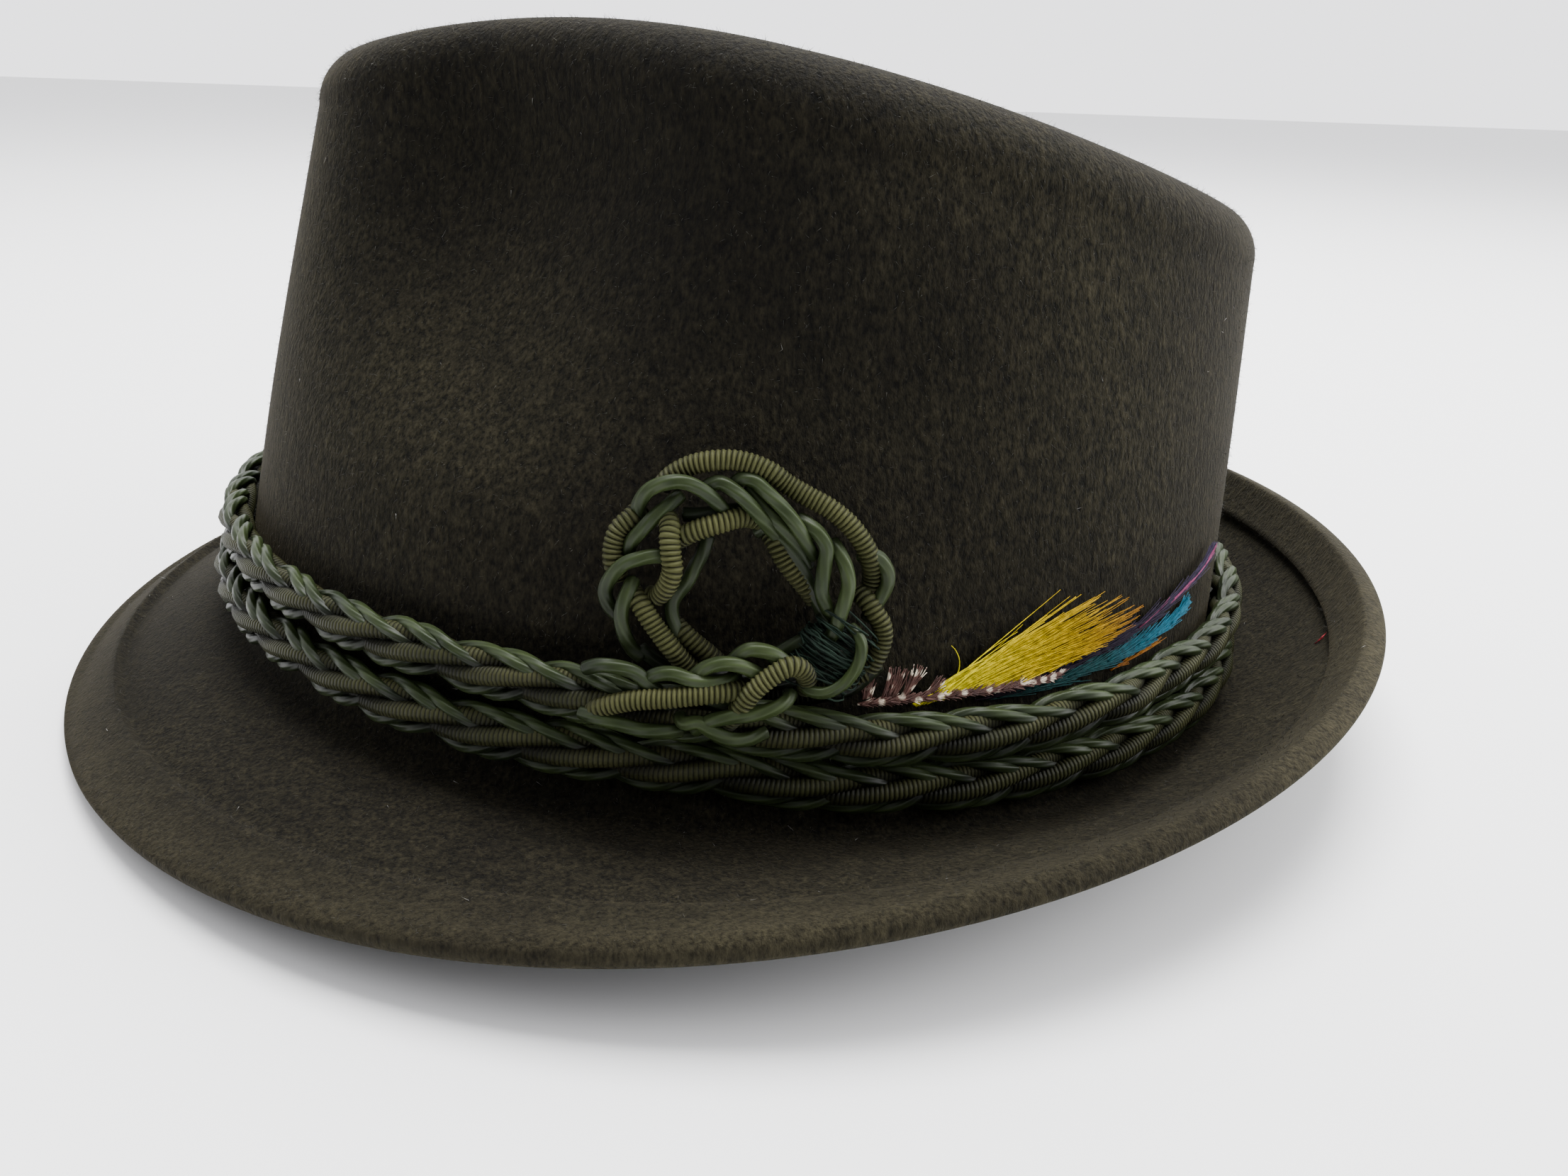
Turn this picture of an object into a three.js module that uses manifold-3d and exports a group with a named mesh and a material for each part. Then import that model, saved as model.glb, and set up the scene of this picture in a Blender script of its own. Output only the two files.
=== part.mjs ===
import * as THREE from 'three';
import { mergeVertices } from 'three/addons/utils/BufferGeometryUtils.js';
import Module from 'manifold-3d';

// Alpine hat of fur felt, with a band of two plaited ropes, a plaited ring and a spray of feathers.
// Lengths are in millimetres and angles in degrees. The front is -X and the wearer's left is -Y.
// Shapes are worked out with the line where crown meets brim level at z = 0.
// They are then settled on the surface that the hat rests on, which is z = 0 of the finished part.

// Driving dimensions.

const gap = 0.35;
const head = { halfLength: 99.5, halfWidth: 89.7 };
const felt = { wall: 2, weltThickness: 1.8, weltWidth: 10, weltStep: 0.7, columns: 52 };
const feltRows = { top: 6, ridge: 5, wall: 8, break: 4, brim: 4 };
const crown = { frontHalf: 83.4, backHalf: 93.6, sideHalf: 67.1, edgeRadius: 10.5, lean: 1.15 };
const crease = { middle: 4, halfLength: 50, depth: 23, flatShare: 0.25, backEase: 0.2 };
const brim = { width: 36.3, breakRadius: 4.9, sideRise: 11.2, endRise: 42.5, curl: 0.62 };
const rest = { tilt: 3.75, lift: 7.7 };

// Height of the crown's upper ridge, from the front (along = -1) to the back (along = 1).
const ridgeHeights = [
  { along: -1.0, height: 101.5 },
  { along: -0.5, height: 109.6 },
  { along: 0.2, height: 106.4 },
  { along: 1.0, height: 89.7 },
];

// The front pinch narrows the whole upper crown, and the dents are hollows in each side wall.
const pinch = { along: -50.7, length: 29.2, startHeight: 37, fullHeight: 81, share: 0.3 };
const dents = [
  { along: -33, height: 90, length: 24, tall: 12, depth: 4 },
  { along: 3, height: 66, length: 24, tall: 17, depth: 2.5 },
];

// A plait is three bundles of cords that weave about its middle line.
const plait = { sway: 2.35, weave: 0.8, bundleRadius: 2.2, sides: 8 };
const band = { lowerHeight: 7.3, upperHeight: 17, turns: 14, sectionsPerTurn: 6, leftFade: 4 };

// On the left both ropes rise towards the front.
// The upper one also stands off the crown, to make room for the ring and the feathers.
const upperRopeRoute = [
  { along: -99.5, off: 0, rise: 0.6 },
  { along: -78, off: 0, rise: 1.8 },
  { along: -40, off: 0, rise: 2.3 },
  { along: -18, off: 4.1, rise: 3.2 },
  { along: 12, off: 4.1, rise: 0.9 },
  { along: 21, off: 3, rise: 0 },
  { along: 38, off: 3, rise: 0 },
  { along: 56, off: 3, rise: 1 },
  { along: 70, off: 0, rise: 0.1 },
];
const lowerRopeRoute = [
  { along: -99.5, off: 0, rise: 0.8 },
  { along: -70, off: 0, rise: 2.5 },
  { along: -5, off: 0, rise: 2.8 },
  { along: 14, off: 0, rise: 1.1 },
  { along: 30, off: 0, rise: 0.2 },
  { along: 60, off: 0, rise: 0 },
];

// The ring hangs on the left side of the crown, and its lowest part runs behind the upper rope.
const ring = {
  along: -1.8, height: 35, middleRadius: 13.9, sway: 3.2, weave: 0.8, bundleRadius: 2.5,
  turns: 8 / 3, sections: 36, clearance: 2.9, lowShare: 0.52, lowStart: 0.45, lowRange: 0.4,
};
const binding = { angle: -30, length: 4.6, thickness: 0.8, swell: 0.25, phases: 12 };
const tie = { radius: 0.9, sides: 8, steps: 16 };
const tieRoute = [
  { along: 12.8, height: 33.1, out: 10.9 },
  { along: 13.6, height: 29.9, out: 11.6 },
  { along: 12.2, height: 26.5, out: 11.6 },
  { along: 9.8, height: 24.1, out: 10.2 },
  { along: 7.2, height: 24.3, out: 9.6 },
];

// Each feather is one or more pointed locks that lie on the crown, from root to tip.
const lockShape = { sections: 7, rootShare: 0.12, fullness: 0.8 };
const feathers = [
  {
    name: 'blue_feather', colour: 0x2c6676, out: 0.4, thickness: 0.55,
    locks: [
      { rootAlong: 38, rootHeight: 19, tipAlong: 74, tipHeight: 24.6, width: 6 },
      { rootAlong: 36, rootHeight: 18.6, tipAlong: 70, tipHeight: 21.4, width: 4.6 },
    ],
  },
  {
    name: 'violet_feather', colour: 0x3a2548, out: 1.25, thickness: 0.5,
    locks: [
      { rootAlong: 36, rootHeight: 19, tipAlong: 81, tipHeight: 32, width: 3.4 },
      { rootAlong: 34, rootHeight: 18.8, tipAlong: 70, tipHeight: 27.5, width: 4 },
    ],
  },
  {
    name: 'yellow_hackle', colour: 0xc9b51f, out: 2.05, thickness: 0.7,
    locks: [
      { rootAlong: 24, rootHeight: 19.4, tipAlong: 60.5, tipHeight: 33, width: 5 },
      { rootAlong: 25, rootHeight: 19.2, tipAlong: 65, tipHeight: 32, width: 5 },
      { rootAlong: 26, rootHeight: 19, tipAlong: 63, tipHeight: 28.6, width: 5 },
      { rootAlong: 27, rootHeight: 18.8, tipAlong: 54, tipHeight: 24.2, width: 4.6 },
    ],
  },
  {
    name: 'speckled_feather', colour: 0x7a5a4a, out: 2.9, thickness: 0.7,
    locks: [
      { rootAlong: 16.5, rootHeight: 21.4, tipAlong: 49, tipHeight: 23, width: 2.8 },
      { rootAlong: 17.2, rootHeight: 21.6, tipAlong: 18.5, tipHeight: 25.6, width: 2.4 },
      { rootAlong: 19.5, rootHeight: 21.8, tipAlong: 23.5, tipHeight: 27, width: 2.4 },
      { rootAlong: 23.5, rootHeight: 22, tipAlong: 28, tipHeight: 26, width: 2.2 },
    ],
  },
];

const colours = { felt: 0x2e281d, rope: 0x57604a, thread: 0x3d5d58 };
const roughness = { felt: 0.95, cord: 0.6, feather: 0.7 };

// A turn on the crown is found by steps from its side, and directions by looking a little each way.
const wallSearch = { passes: 8, leastSlope: 0.3, look: 0.5 };

const wasm = await Module();
wasm.setup();

// Small helpers for numbers and directions.

const radians = THREE.MathUtils.degToRad;
const mix = THREE.MathUtils.lerp;

function ease(value) {
  return THREE.MathUtils.smoothstep(value, 0, 1);
}

function shares(count) {
  return Array.from({ length: count }, (_, index) => index / (count - 1));
}

// Value of a table at a place, with an eased ramp between neighbouring rows.
function tableValue(table, key, place) {
  if (place <= table[0].along) return table[0][key];
  for (let row = 1; row < table.length; row += 1) {
    const before = table[row - 1];
    const after = table[row];
    if (place <= after.along) {
      const share = (place - before.along) / (after.along - before.along);
      return mix(before[key], after[key], ease(share));
    }
  }
  return table[table.length - 1][key];
}

// Cubic curve through the four ridge heights.
function ridgeHeight(along) {
  return ridgeHeights.reduce((sum, row) => {
    const others = ridgeHeights.filter((other) => other !== row);
    const weight = others.reduce((w, other) => w * (along - other.along) / (row.along - other.along), 1);
    return sum + weight * row.height;
  }, 0);
}

// Pushes a point of the crown inwards by the pinch and the dents, alike on both sides.
function dented(point) {
  const pinchAlong = Math.exp(-(((point.x - pinch.along) / pinch.length) ** 2));
  const pinchUp = ease((point.z - pinch.startHeight) / (pinch.fullHeight - pinch.startHeight));
  let side = Math.abs(point.y) * (1 - pinch.share * pinchAlong * pinchUp);
  for (const dent of dents) {
    const away = ((point.x - dent.along) / dent.length) ** 2 + ((point.z - dent.height) / dent.tall) ** 2;
    side -= Math.min(dent.depth * Math.exp(-away), side);
  }
  point.y = Math.sign(point.y) * side;
  return point;
}

// Slopes of the brim at one direction, at its break and at its edge.
function brimSlopes(turn) {
  const middle = radians(brim.sideRise + brim.endRise * Math.cos(turn));
  return { start: middle * brim.curl, end: middle * (2 - brim.curl) };
}

// Unit direction in plan that points straight out of the oval where crown meets brim.
function outward(turn) {
  const steepest = new THREE.Vector3(Math.cos(turn) / head.halfLength, Math.sin(turn) / head.halfWidth, 0);
  return steepest.normalize();
}

// Half length and half width of the crown at its upper edge, in one direction.
function upperOval(turn) {
  const halfLength = Math.cos(turn) > 0 ? crown.backHalf : crown.frontHalf;
  return { x: halfLength * Math.cos(turn), y: crown.sideHalf * Math.sin(turn) };
}

// Zones of the felt's outer skin, from the crease on top to the edge of the brim.

function topPoint(turn, share) {
  const along = Math.cos(turn);
  const oval = upperOval(turn);
  const innerX = oval.x - crown.edgeRadius * along;
  const innerY = oval.y - crown.edgeRadius * Math.sin(turn);
  const creaseX = crease.middle + crease.halfLength * along;
  const drop = crease.depth * (1 - crease.backEase * (1 + along) / 2);
  const fall = ease((1 - share) / (1 - crease.flatShare));
  const z = ridgeHeight(along) - drop * fall;
  return dented(new THREE.Vector3(mix(creaseX, innerX, share), innerY * share, z));
}

function ridgePoint(turn, share) {
  const angle = share * Math.PI / 2;
  const oval = upperOval(turn);
  const inset = crown.edgeRadius * (1 - Math.sin(angle));
  const z = ridgeHeight(Math.cos(turn)) - crown.edgeRadius * (1 - Math.cos(angle));
  return dented(new THREE.Vector3(oval.x - Math.cos(turn) * inset, oval.y - Math.sin(turn) * inset, z));
}

function wallTop(turn) {
  return ridgeHeight(Math.cos(turn)) - crown.edgeRadius;
}

// Share 0 is the upper end of the wall and 1 is its foot above the break.
function wallPoint(turn, share) {
  const oval = upperOval(turn);
  const inwards = (1 - share) ** crown.lean;
  const x = mix(head.halfLength * Math.cos(turn), oval.x, inwards);
  const y = mix(head.halfWidth * Math.sin(turn), oval.y, inwards);
  return dented(new THREE.Vector3(x, y, mix(wallTop(turn), brim.breakRadius, share)));
}

function brimPoint(turn, out, z) {
  const foot = new THREE.Vector3(head.halfLength * Math.cos(turn), head.halfWidth * Math.sin(turn), z);
  return foot.addScaledVector(outward(turn), out);
}

function breakPoint(turn, share) {
  const angle = Math.PI + (Math.PI / 2 + brimSlopes(turn).start) * share;
  const radius = brim.breakRadius;
  return brimPoint(turn, radius + radius * Math.cos(angle), radius + radius * Math.sin(angle));
}

// The brim runs out along an arc, from its slope at the break to its slope at the edge.
function brimSkin(turn, share) {
  const slopes = brimSlopes(turn);
  const radius = brim.breakRadius;
  const bend = slopes.end - slopes.start;
  const turned = Math.abs(bend) < 1e-6 ? 1e-6 : bend * share;
  const run = (brim.width - radius) * share;
  const out = radius + radius * Math.sin(slopes.start)
    + run * (Math.sin(slopes.start + turned) - Math.sin(slopes.start)) / turned;
  const z = radius - radius * Math.cos(slopes.start)
    + run * (Math.cos(slopes.start) - Math.cos(slopes.start + turned)) / turned;
  return brimPoint(turn, out, z);
}

// Point near the left wall of the crown, at a place along and up it and a distance out of it.
function onLeftWall(along, height, out) {
  const at = (x, z) => {
    let turn = -Math.PI / 2;
    let point;
    for (let pass = 0; pass < wallSearch.passes; pass += 1) {
      const share = 1 - (z - brim.breakRadius) / (wallTop(turn) - brim.breakRadius);
      point = wallPoint(turn, share);
      turn += (x - point.x) / head.halfLength / Math.max(-Math.sin(turn), wallSearch.leastSlope);
    }
    return point;
  };
  const point = at(along, height);
  const look = wallSearch.look;
  const alongWall = at(along + look, height).sub(at(along - look, height));
  const upWall = at(along, height + look).sub(at(along, height - look));
  return point.addScaledVector(alongWall.cross(upWall).normalize(), out);
}

// Moves a point from the level frame to where it lies when the hat rests.
function settle(point) {
  point.applyAxisAngle(new THREE.Vector3(0, 1, 0), radians(rest.tilt));
  point.z += rest.lift;
  return point;
}

// Closed body through rings of points. Ends are joined in a loop, folded shut or capped.
function bodyThrough(rings, ends) {
  const columns = rings[0].length;
  const last = rings.length - 1;
  const positions = [];
  const ids = rings.map((points, row) => {
    const rowIds = [];
    for (let column = 0; column < columns; column += 1) {
      const mirrored = ends === 'folded' && (row === 0 || row === last) && column > columns / 2;
      if (mirrored) {
        rowIds.push(rowIds[columns - column]);
      } else {
        rowIds.push(positions.length / 3);
        positions.push(points[column].x, points[column].y, points[column].z);
      }
    }
    return rowIds;
  });
  const triangles = [];
  const rowPairs = ids.slice(1).map((next, row) => [ids[row], next]);
  if (ends === 'looped') rowPairs.push([ids[last], ids[0]]);
  for (const [near, far] of rowPairs) {
    for (let column = 0; column < columns; column += 1) {
      const next = (column + 1) % columns;
      triangles.push(near[column], far[column], near[next], near[next], far[column], far[next]);
    }
  }
  if (ends === 'capped') {
    for (let column = 1; column < columns - 1; column += 1) {
      triangles.push(ids[0][0], ids[0][column], ids[0][column + 1]);
      triangles.push(ids[last][0], ids[last][column + 1], ids[last][column]);
    }
  }
  return outwardFacing(positions, triangles);
}

// Geometry whose faces point out of the body that they close.
function outwardFacing(positions, triangles) {
  const corner = (index) => new THREE.Vector3().fromArray(positions, index * 3);
  let volume = 0;
  for (let first = 0; first < triangles.length; first += 3) {
    const [a, b, c] = [0, 1, 2].map((step) => corner(triangles[first + step]));
    volume += a.dot(b.cross(c));
  }
  const faces = volume > 0 ? triangles : triangles.slice().reverse();
  const geometry = new THREE.BufferGeometry();
  geometry.setAttribute('position', new THREE.Float32BufferAttribute(positions, 3));
  geometry.setIndex(faces);
  geometry.computeVertexNormals();
  return geometry;
}

function solidOf(geometry) {
  const bare = geometry.clone();
  bare.deleteAttribute('normal');
  bare.deleteAttribute('uv');
  const merged = mergeVertices(bare);
  return new wasm.Manifold(new wasm.Mesh({
    numProp: 3,
    vertProperties: merged.attributes.position.array,
    triVerts: Uint32Array.from(merged.index.array),
  }));
}

// One body made by joining overlapping ones.
function fused(geometries) {
  const joined = geometries.map(solidOf).reduce((sum, solid) => sum.add(solid)).getMesh();
  const geometry = new THREE.BufferGeometry();
  geometry.setAttribute('position', new THREE.BufferAttribute(joined.vertProperties, 3));
  geometry.setIndex(new THREE.BufferAttribute(joined.triVerts, 1));
  geometry.computeVertexNormals();
  return geometry;
}

// The felt body: crown and brim in one wall, with the brim's edge folded up onto itself.
function feltBody() {
  const turns = Array.from({ length: felt.columns }, (_, column) => column / felt.columns * Math.PI * 2);
  const weltStart = 1 - felt.weltWidth / (brim.width - brim.breakRadius);
  const weltFull = weltStart + felt.weltStep / (brim.width - brim.breakRadius);
  const zoneRows = (zone, count, end) => shares(count).map(
    (share) => ({ zone, share: share * end, raise: 0 }),
  );
  const rows = [
    ...zoneRows(topPoint, feltRows.top, 1),
    ...zoneRows(ridgePoint, feltRows.ridge, 1).slice(1),
    ...zoneRows(wallPoint, feltRows.wall, 1).slice(1),
    ...zoneRows(breakPoint, feltRows.break, 1).slice(1),
    ...zoneRows(brimSkin, feltRows.brim, weltStart).slice(1),
    { zone: brimSkin, share: weltFull, raise: felt.weltThickness },
    { zone: brimSkin, share: (1 + weltFull) / 2, raise: felt.weltThickness },
    { zone: brimSkin, share: 1, raise: felt.weltThickness },
  ];
  const skin = rows.map((row) => turns.map((turn) => row.zone(turn, row.share)));
  const normals = skinNormals(skin);
  const middle = (felt.weltThickness - felt.wall) / 2;
  const noseReach = (felt.wall + felt.weltThickness) / 3;
  const offset = (row, distance) => skin[row].map(
    (point, column) => point.clone().addScaledVector(normals[row][column], distance),
  );
  const upper = rows.map((row, index) => offset(index, row.raise));
  const under = rows.map((row, index) => offset(index, -felt.wall));
  const nose = offset(rows.length - 1, middle).map(
    (point, column) => point.addScaledVector(outward(turns[column]), noseReach),
  );
  flattenWhereItRests(upper, under, nose);
  return bodyThrough([...upper, nose, ...under.reverse()], 'folded');
}

// Unit normals of a skin of points, whose first row is folded onto itself along the crease.
function skinNormals(skin) {
  const columns = skin[0].length;
  const last = skin.length - 1;
  return skin.map((points, row) => points.map((point, column) => {
    const next = points[(column + 1) % columns];
    const previous = points[(column - 1 + columns) % columns];
    const around = next.clone().sub(previous);
    if (row > 0) {
      const across = skin[Math.min(row + 1, last)][column].clone().sub(skin[row - 1][column]);
      return across.cross(around).normalize();
    }
    const foldEnd = column % (columns / 2) === 0;
    if (foldEnd) return new THREE.Vector3(0, 0, 1);
    return new THREE.Vector3(-around.z, 0, around.x).normalize().multiplyScalar(Math.sign(around.x));
  }));
}

// Lifts the felt by whatever its underside would sink below the surface that it rests on.
function flattenWhereItRests(upper, under, nose) {
  [...upper, ...under, nose].forEach((points) => points.forEach(settle));
  const edge = under.length - 1;
  under.forEach((points, row) => points.forEach((point, column) => {
    const above = row === edge ? [upper[row][column], nose[column]] : [upper[row][column]];
    const sunk = Math.max(-point.z, 0);
    [point, ...above].forEach((moved) => {
      moved.z += sunk;
    });
  }));
}

// Distance from a plait's middle line to the outside of its bundles, in one direction.
function plaitReach(shape, phase, direction) {
  const out = Math.cos(direction);
  const up = Math.sin(direction);
  return [0, 1, 2].reduce((reach, bundle) => {
    const swing = phase + bundle * Math.PI * 2 / 3;
    const y = shape.sway * Math.sin(swing);
    const x = -shape.weave * Math.sin(2 * swing);
    const forward = x * out + y * up;
    const aside = x * up - y * out;
    const left = shape.bundleRadius ** 2 - aside ** 2;
    return left > 0 ? Math.max(reach, forward + Math.sqrt(left)) : reach;
  }, 0);
}

// One rope of the band: a plait carried round the crown just above the brim.
function bandRope(level, route) {
  const rings = [];
  const sections = band.turns * band.sectionsPerTurn;
  const close = gap + plait.weave + plait.bundleRadius;
  for (let section = 0; section < sections; section += 1) {
    const turn = section / sections * Math.PI * 2;
    const phase = (section + 0.5) / band.sectionsPerTurn * Math.PI * 2;
    const along = head.halfLength * Math.cos(turn);
    const onLeft = ease(-Math.sin(turn) * band.leftFade);
    const off = onLeft * tableValue(route, 'off', along);
    const height = level + onLeft * tableValue(route, 'rise', along);
    const share = 1 - (height - brim.breakRadius) / (wallTop(turn) - brim.breakRadius);
    const out = outward(turn);
    const middle = wallPoint(turn, share).addScaledVector(out, close + off);
    rings.push(Array.from({ length: plait.sides }, (_, side) => {
      const direction = (side + 0.5) / plait.sides * Math.PI * 2;
      const reach = plaitReach(plait, phase, direction);
      const point = middle.clone().addScaledVector(out, reach * Math.cos(direction));
      point.z += reach * Math.sin(direction);
      return settle(point);
    }));
  }
  return bodyThrough(rings, 'looped');
}

// Where the ring's middle line runs at one angle round it, and how much of its depth it keeps there.
function ringMiddle(angle) {
  const low = ease((-Math.sin(angle) - ring.lowStart) / ring.lowRange);
  const depth = mix(1, ring.lowShare, low);
  const out = mix(ring.clearance, gap, low) + depth * (ring.weave + ring.bundleRadius);
  return { depth, out };
}

// Section of the ring at one angle, grown by a margin.
function ringSection(angle, margin, reachAt) {
  const { depth, out } = ringMiddle(angle);
  return Array.from({ length: plait.sides }, (_, side) => {
    const direction = (side + 0.5) / plait.sides * Math.PI * 2;
    const reach = reachAt(direction);
    const radius = ring.middleRadius + (reach + margin) * Math.sin(direction);
    const stand = out + (reach * depth + margin) * Math.cos(direction);
    const along = ring.along + radius * Math.cos(angle);
    return settle(onLeftWall(along, ring.height + radius * Math.sin(angle), stand));
  });
}

function plaitedRing() {
  const rings = Array.from({ length: ring.sections }, (_, section) => {
    const angle = section / ring.sections * Math.PI * 2;
    return ringSection(angle, 0, (direction) => plaitReach(ring, angle * ring.turns, direction));
  });
  return bodyThrough(rings, 'looped');
}

// Sleeve of wound thread round the ring, where its end is tied down.
// It clears the plait's widest outline, whichever bundle is outermost there.
function threadBinding() {
  const phases = Array.from({ length: binding.phases }, (_, step) => step / binding.phases * Math.PI * 2);
  const widest = (direction) => Math.max(...phases.map((phase) => plaitReach(ring, phase, direction)));
  const halfAngle = binding.length / 2 / ring.middleRadius;
  const rows = [-1, 0, 1].map((side) => ({
    angle: radians(binding.angle) + side * halfAngle,
    thickness: binding.thickness + (side === 0 ? binding.swell : 0),
  }));
  const outer = rows.map((row) => ringSection(row.angle, gap + row.thickness, widest));
  const inner = rows.map((row) => ringSection(row.angle, gap, widest)).reverse();
  return bodyThrough([...outer, ...inner], 'looped');
}

// Thin cord that hangs in a loop over the binding, down to the upper rope.
function tieCord() {
  const points = tieRoute.map((row) => settle(onLeftWall(row.along, row.height, row.out)));
  const section = new THREE.Shape();
  section.absarc(0, 0, tie.radius, 0, Math.PI * 2);
  return new THREE.ExtrudeGeometry(section, {
    extrudePath: new THREE.CatmullRomCurve3(points),
    steps: tie.steps,
    curveSegments: tie.sides / 2,
  });
}

// Pointed lock of feather: a thin leaf that is widest in its first half.
function featherLock(lock, out, thickness) {
  const run = new THREE.Vector2(lock.tipAlong - lock.rootAlong, lock.tipHeight - lock.rootHeight);
  const across = new THREE.Vector2(-run.y, run.x).normalize();
  const rings = shares(lockShape.sections).map((share) => {
    const swell = Math.sin(Math.PI * share ** lockShape.fullness);
    const half = lock.width / 2 * mix(lockShape.rootShare, 1, swell);
    const along = lock.rootAlong + run.x * share;
    const height = lock.rootHeight + run.y * share;
    const corners = [
      { side: -half, stand: out + thickness / 2 },
      { side: 0, stand: out },
      { side: half, stand: out + thickness / 2 },
      { side: 0, stand: out + thickness },
    ];
    return corners.map((corner) => settle(onLeftWall(
      along + across.x * corner.side,
      height + across.y * corner.side,
      corner.stand,
    )));
  });
  return bodyThrough(rings, 'capped');
}

function material(colour, finish) {
  return new THREE.MeshStandardMaterial({ color: colour, roughness: finish, metalness: 0 });
}

function named(name, geometry, finish) {
  const mesh = new THREE.Mesh(geometry, finish);
  mesh.name = name;
  return mesh;
}

const feltFinish = material(colours.felt, roughness.felt);
const ropeFinish = material(colours.rope, roughness.cord);
const threadFinish = material(colours.thread, roughness.cord);

const hat = new THREE.Group();
hat.add(named('felt_body', feltBody(), feltFinish));
hat.add(named('upper_rope', bandRope(band.upperHeight, upperRopeRoute), ropeFinish));
hat.add(named('lower_rope', bandRope(band.lowerHeight, lowerRopeRoute), ropeFinish));
hat.add(named('plaited_ring', plaitedRing(), ropeFinish));
hat.add(named('ring_binding', threadBinding(), threadFinish));
hat.add(named('tie_cord', tieCord(), ropeFinish));
for (const feather of feathers) {
  const locks = feather.locks.map((lock) => featherLock(lock, feather.out, feather.thickness));
  hat.add(named(feather.name, fused(locks), material(feather.colour, roughness.feather)));
}

// The origin is under the middle of the hat's box.
const middle = new THREE.Box3().setFromObject(hat).getCenter(new THREE.Vector3());
hat.position.x = -middle.x;

export default hat;
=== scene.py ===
import math
import bpy
import numpy as np
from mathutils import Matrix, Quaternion, Vector


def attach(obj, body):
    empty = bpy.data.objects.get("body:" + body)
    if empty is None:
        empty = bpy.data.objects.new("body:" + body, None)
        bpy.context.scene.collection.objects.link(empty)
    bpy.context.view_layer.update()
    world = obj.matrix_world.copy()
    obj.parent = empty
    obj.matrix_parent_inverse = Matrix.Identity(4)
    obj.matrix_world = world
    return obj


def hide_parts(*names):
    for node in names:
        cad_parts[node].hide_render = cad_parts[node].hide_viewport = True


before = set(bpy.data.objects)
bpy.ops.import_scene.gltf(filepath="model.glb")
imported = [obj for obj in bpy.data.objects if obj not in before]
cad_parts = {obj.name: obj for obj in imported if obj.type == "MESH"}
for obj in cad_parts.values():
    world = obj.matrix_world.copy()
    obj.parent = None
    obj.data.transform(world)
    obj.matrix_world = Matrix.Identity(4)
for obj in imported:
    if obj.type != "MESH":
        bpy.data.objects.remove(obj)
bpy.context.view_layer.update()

# Camera: near the wearer's left side, a little above the crown, with a wide lens, as in the photo.
# Lengths in this file are in millimetres until a mesh or an object is made.
MM = 0.001
camera_stand = Vector((-1.0, -245.0, 115.5))
camera_aim = Vector((12.0, -0.3, 6.9))
camera_roll = math.radians(2.1)
sensor_width = 36.0
lens_length = 27.7

camera_data = bpy.data.cameras.new("camera")
camera_data.sensor_width = sensor_width
camera_data.lens = lens_length
camera_data.clip_start = 0.01
camera = bpy.data.objects.new("camera", camera_data)
bpy.context.scene.collection.objects.link(camera)
camera.location = camera_stand * MM
aimed = (camera_aim - camera_stand).to_track_quat("-Z", "Y")
camera.rotation_mode = "QUATERNION"
camera.rotation_quaternion = aimed @ Quaternion((0.0, 0.0, 1.0), camera_roll)
bpy.context.scene.camera = camera

# Felt body: crown and brim blocked in one piece of fur felt about 2 mm thick and brushed outside.
# The crown is creased on top and pinched at the front, and the brim's edge is turned up onto
# itself and pressed flat, which leaves a fold 10 mm wide with a step at its inner edge.
HEAD_HALF_LENGTH, HEAD_HALF_WIDTH = 99.5, 89.7
FELT_WALL, WELT_THICKNESS, WELT_WIDTH, WELT_STEP = 2.0, 1.8, 10.0, 0.7
CROWN_FRONT, CROWN_BACK, CROWN_SIDE, CROWN_EDGE, CROWN_LEAN = 83.4, 93.6, 67.1, 10.5, 1.15
CREASE_MIDDLE, CREASE_HALF, CREASE_DEPTH, CREASE_FLAT, CREASE_EASE = 4.0, 50.0, 23.0, 0.25, 0.2
BRIM_WIDTH, BREAK_RADIUS, SIDE_RISE, END_RISE, BRIM_CURL = 36.3, 4.9, 11.2, 42.5, 0.62
REST_TILT, REST_LIFT = math.radians(3.75), 7.7
RIDGE_ALONG = (-1.0, -0.5, 0.2, 1.0)
RIDGE_HEIGHT = (101.5, 109.6, 106.4, 89.7)
PINCH = {"along": -50.7, "length": 29.2, "start": 37.0, "full": 81.0, "share": 0.3}
DENTS = (
    {"along": -33.0, "height": 90.0, "length": 24.0, "tall": 12.0, "depth": 4.0},
    {"along": 3.0, "height": 66.0, "length": 24.0, "tall": 17.0, "depth": 2.5},
)
FELT_COLUMNS = 288
TOP_ROWS, RIDGE_ROWS, WALL_ROWS, BREAK_ROWS, BRIM_ROWS, WELT_ROWS = 30, 14, 40, 10, 14, 8
# The step up to the welt, as share of its run and height there, then the welt's last full row.
WELT_STEP_ROWS = ((0.3, 0.55), (0.8, 1.5))
WELT_LAST_SHARE, WELT_ROUNDING = 0.985, 0.25
# The rounded edge that joins both faces of the felt: its angles, half height and reach outwards.
NOSE_ANGLES = np.radians((50.0, 20.0, -20.0, -55.0))
NOSE_HALF_HEIGHT, NOSE_REACH = 1.8, 1.35


def unit(vectors):
    """Vectors brought to length one."""
    return vectors / np.linalg.norm(vectors, axis=-1, keepdims=True)


def ease(value):
    """Smooth step: 3 v squared minus 2 v cubed, with v held between 0 and 1."""
    v = np.clip(value, 0.0, 1.0)
    return v * v * (3.0 - 2.0 * v)


def mix(start, end, share):
    """Straight mix: start plus share times the difference."""
    return start + (end - start) * share


def ridge_height(along):
    """Cubic through the four ridge heights, by along from -1 at the front to 1 at the back."""
    return np.polyval(np.polyfit(RIDGE_ALONG, RIDGE_HEIGHT, 3), along)


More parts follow.
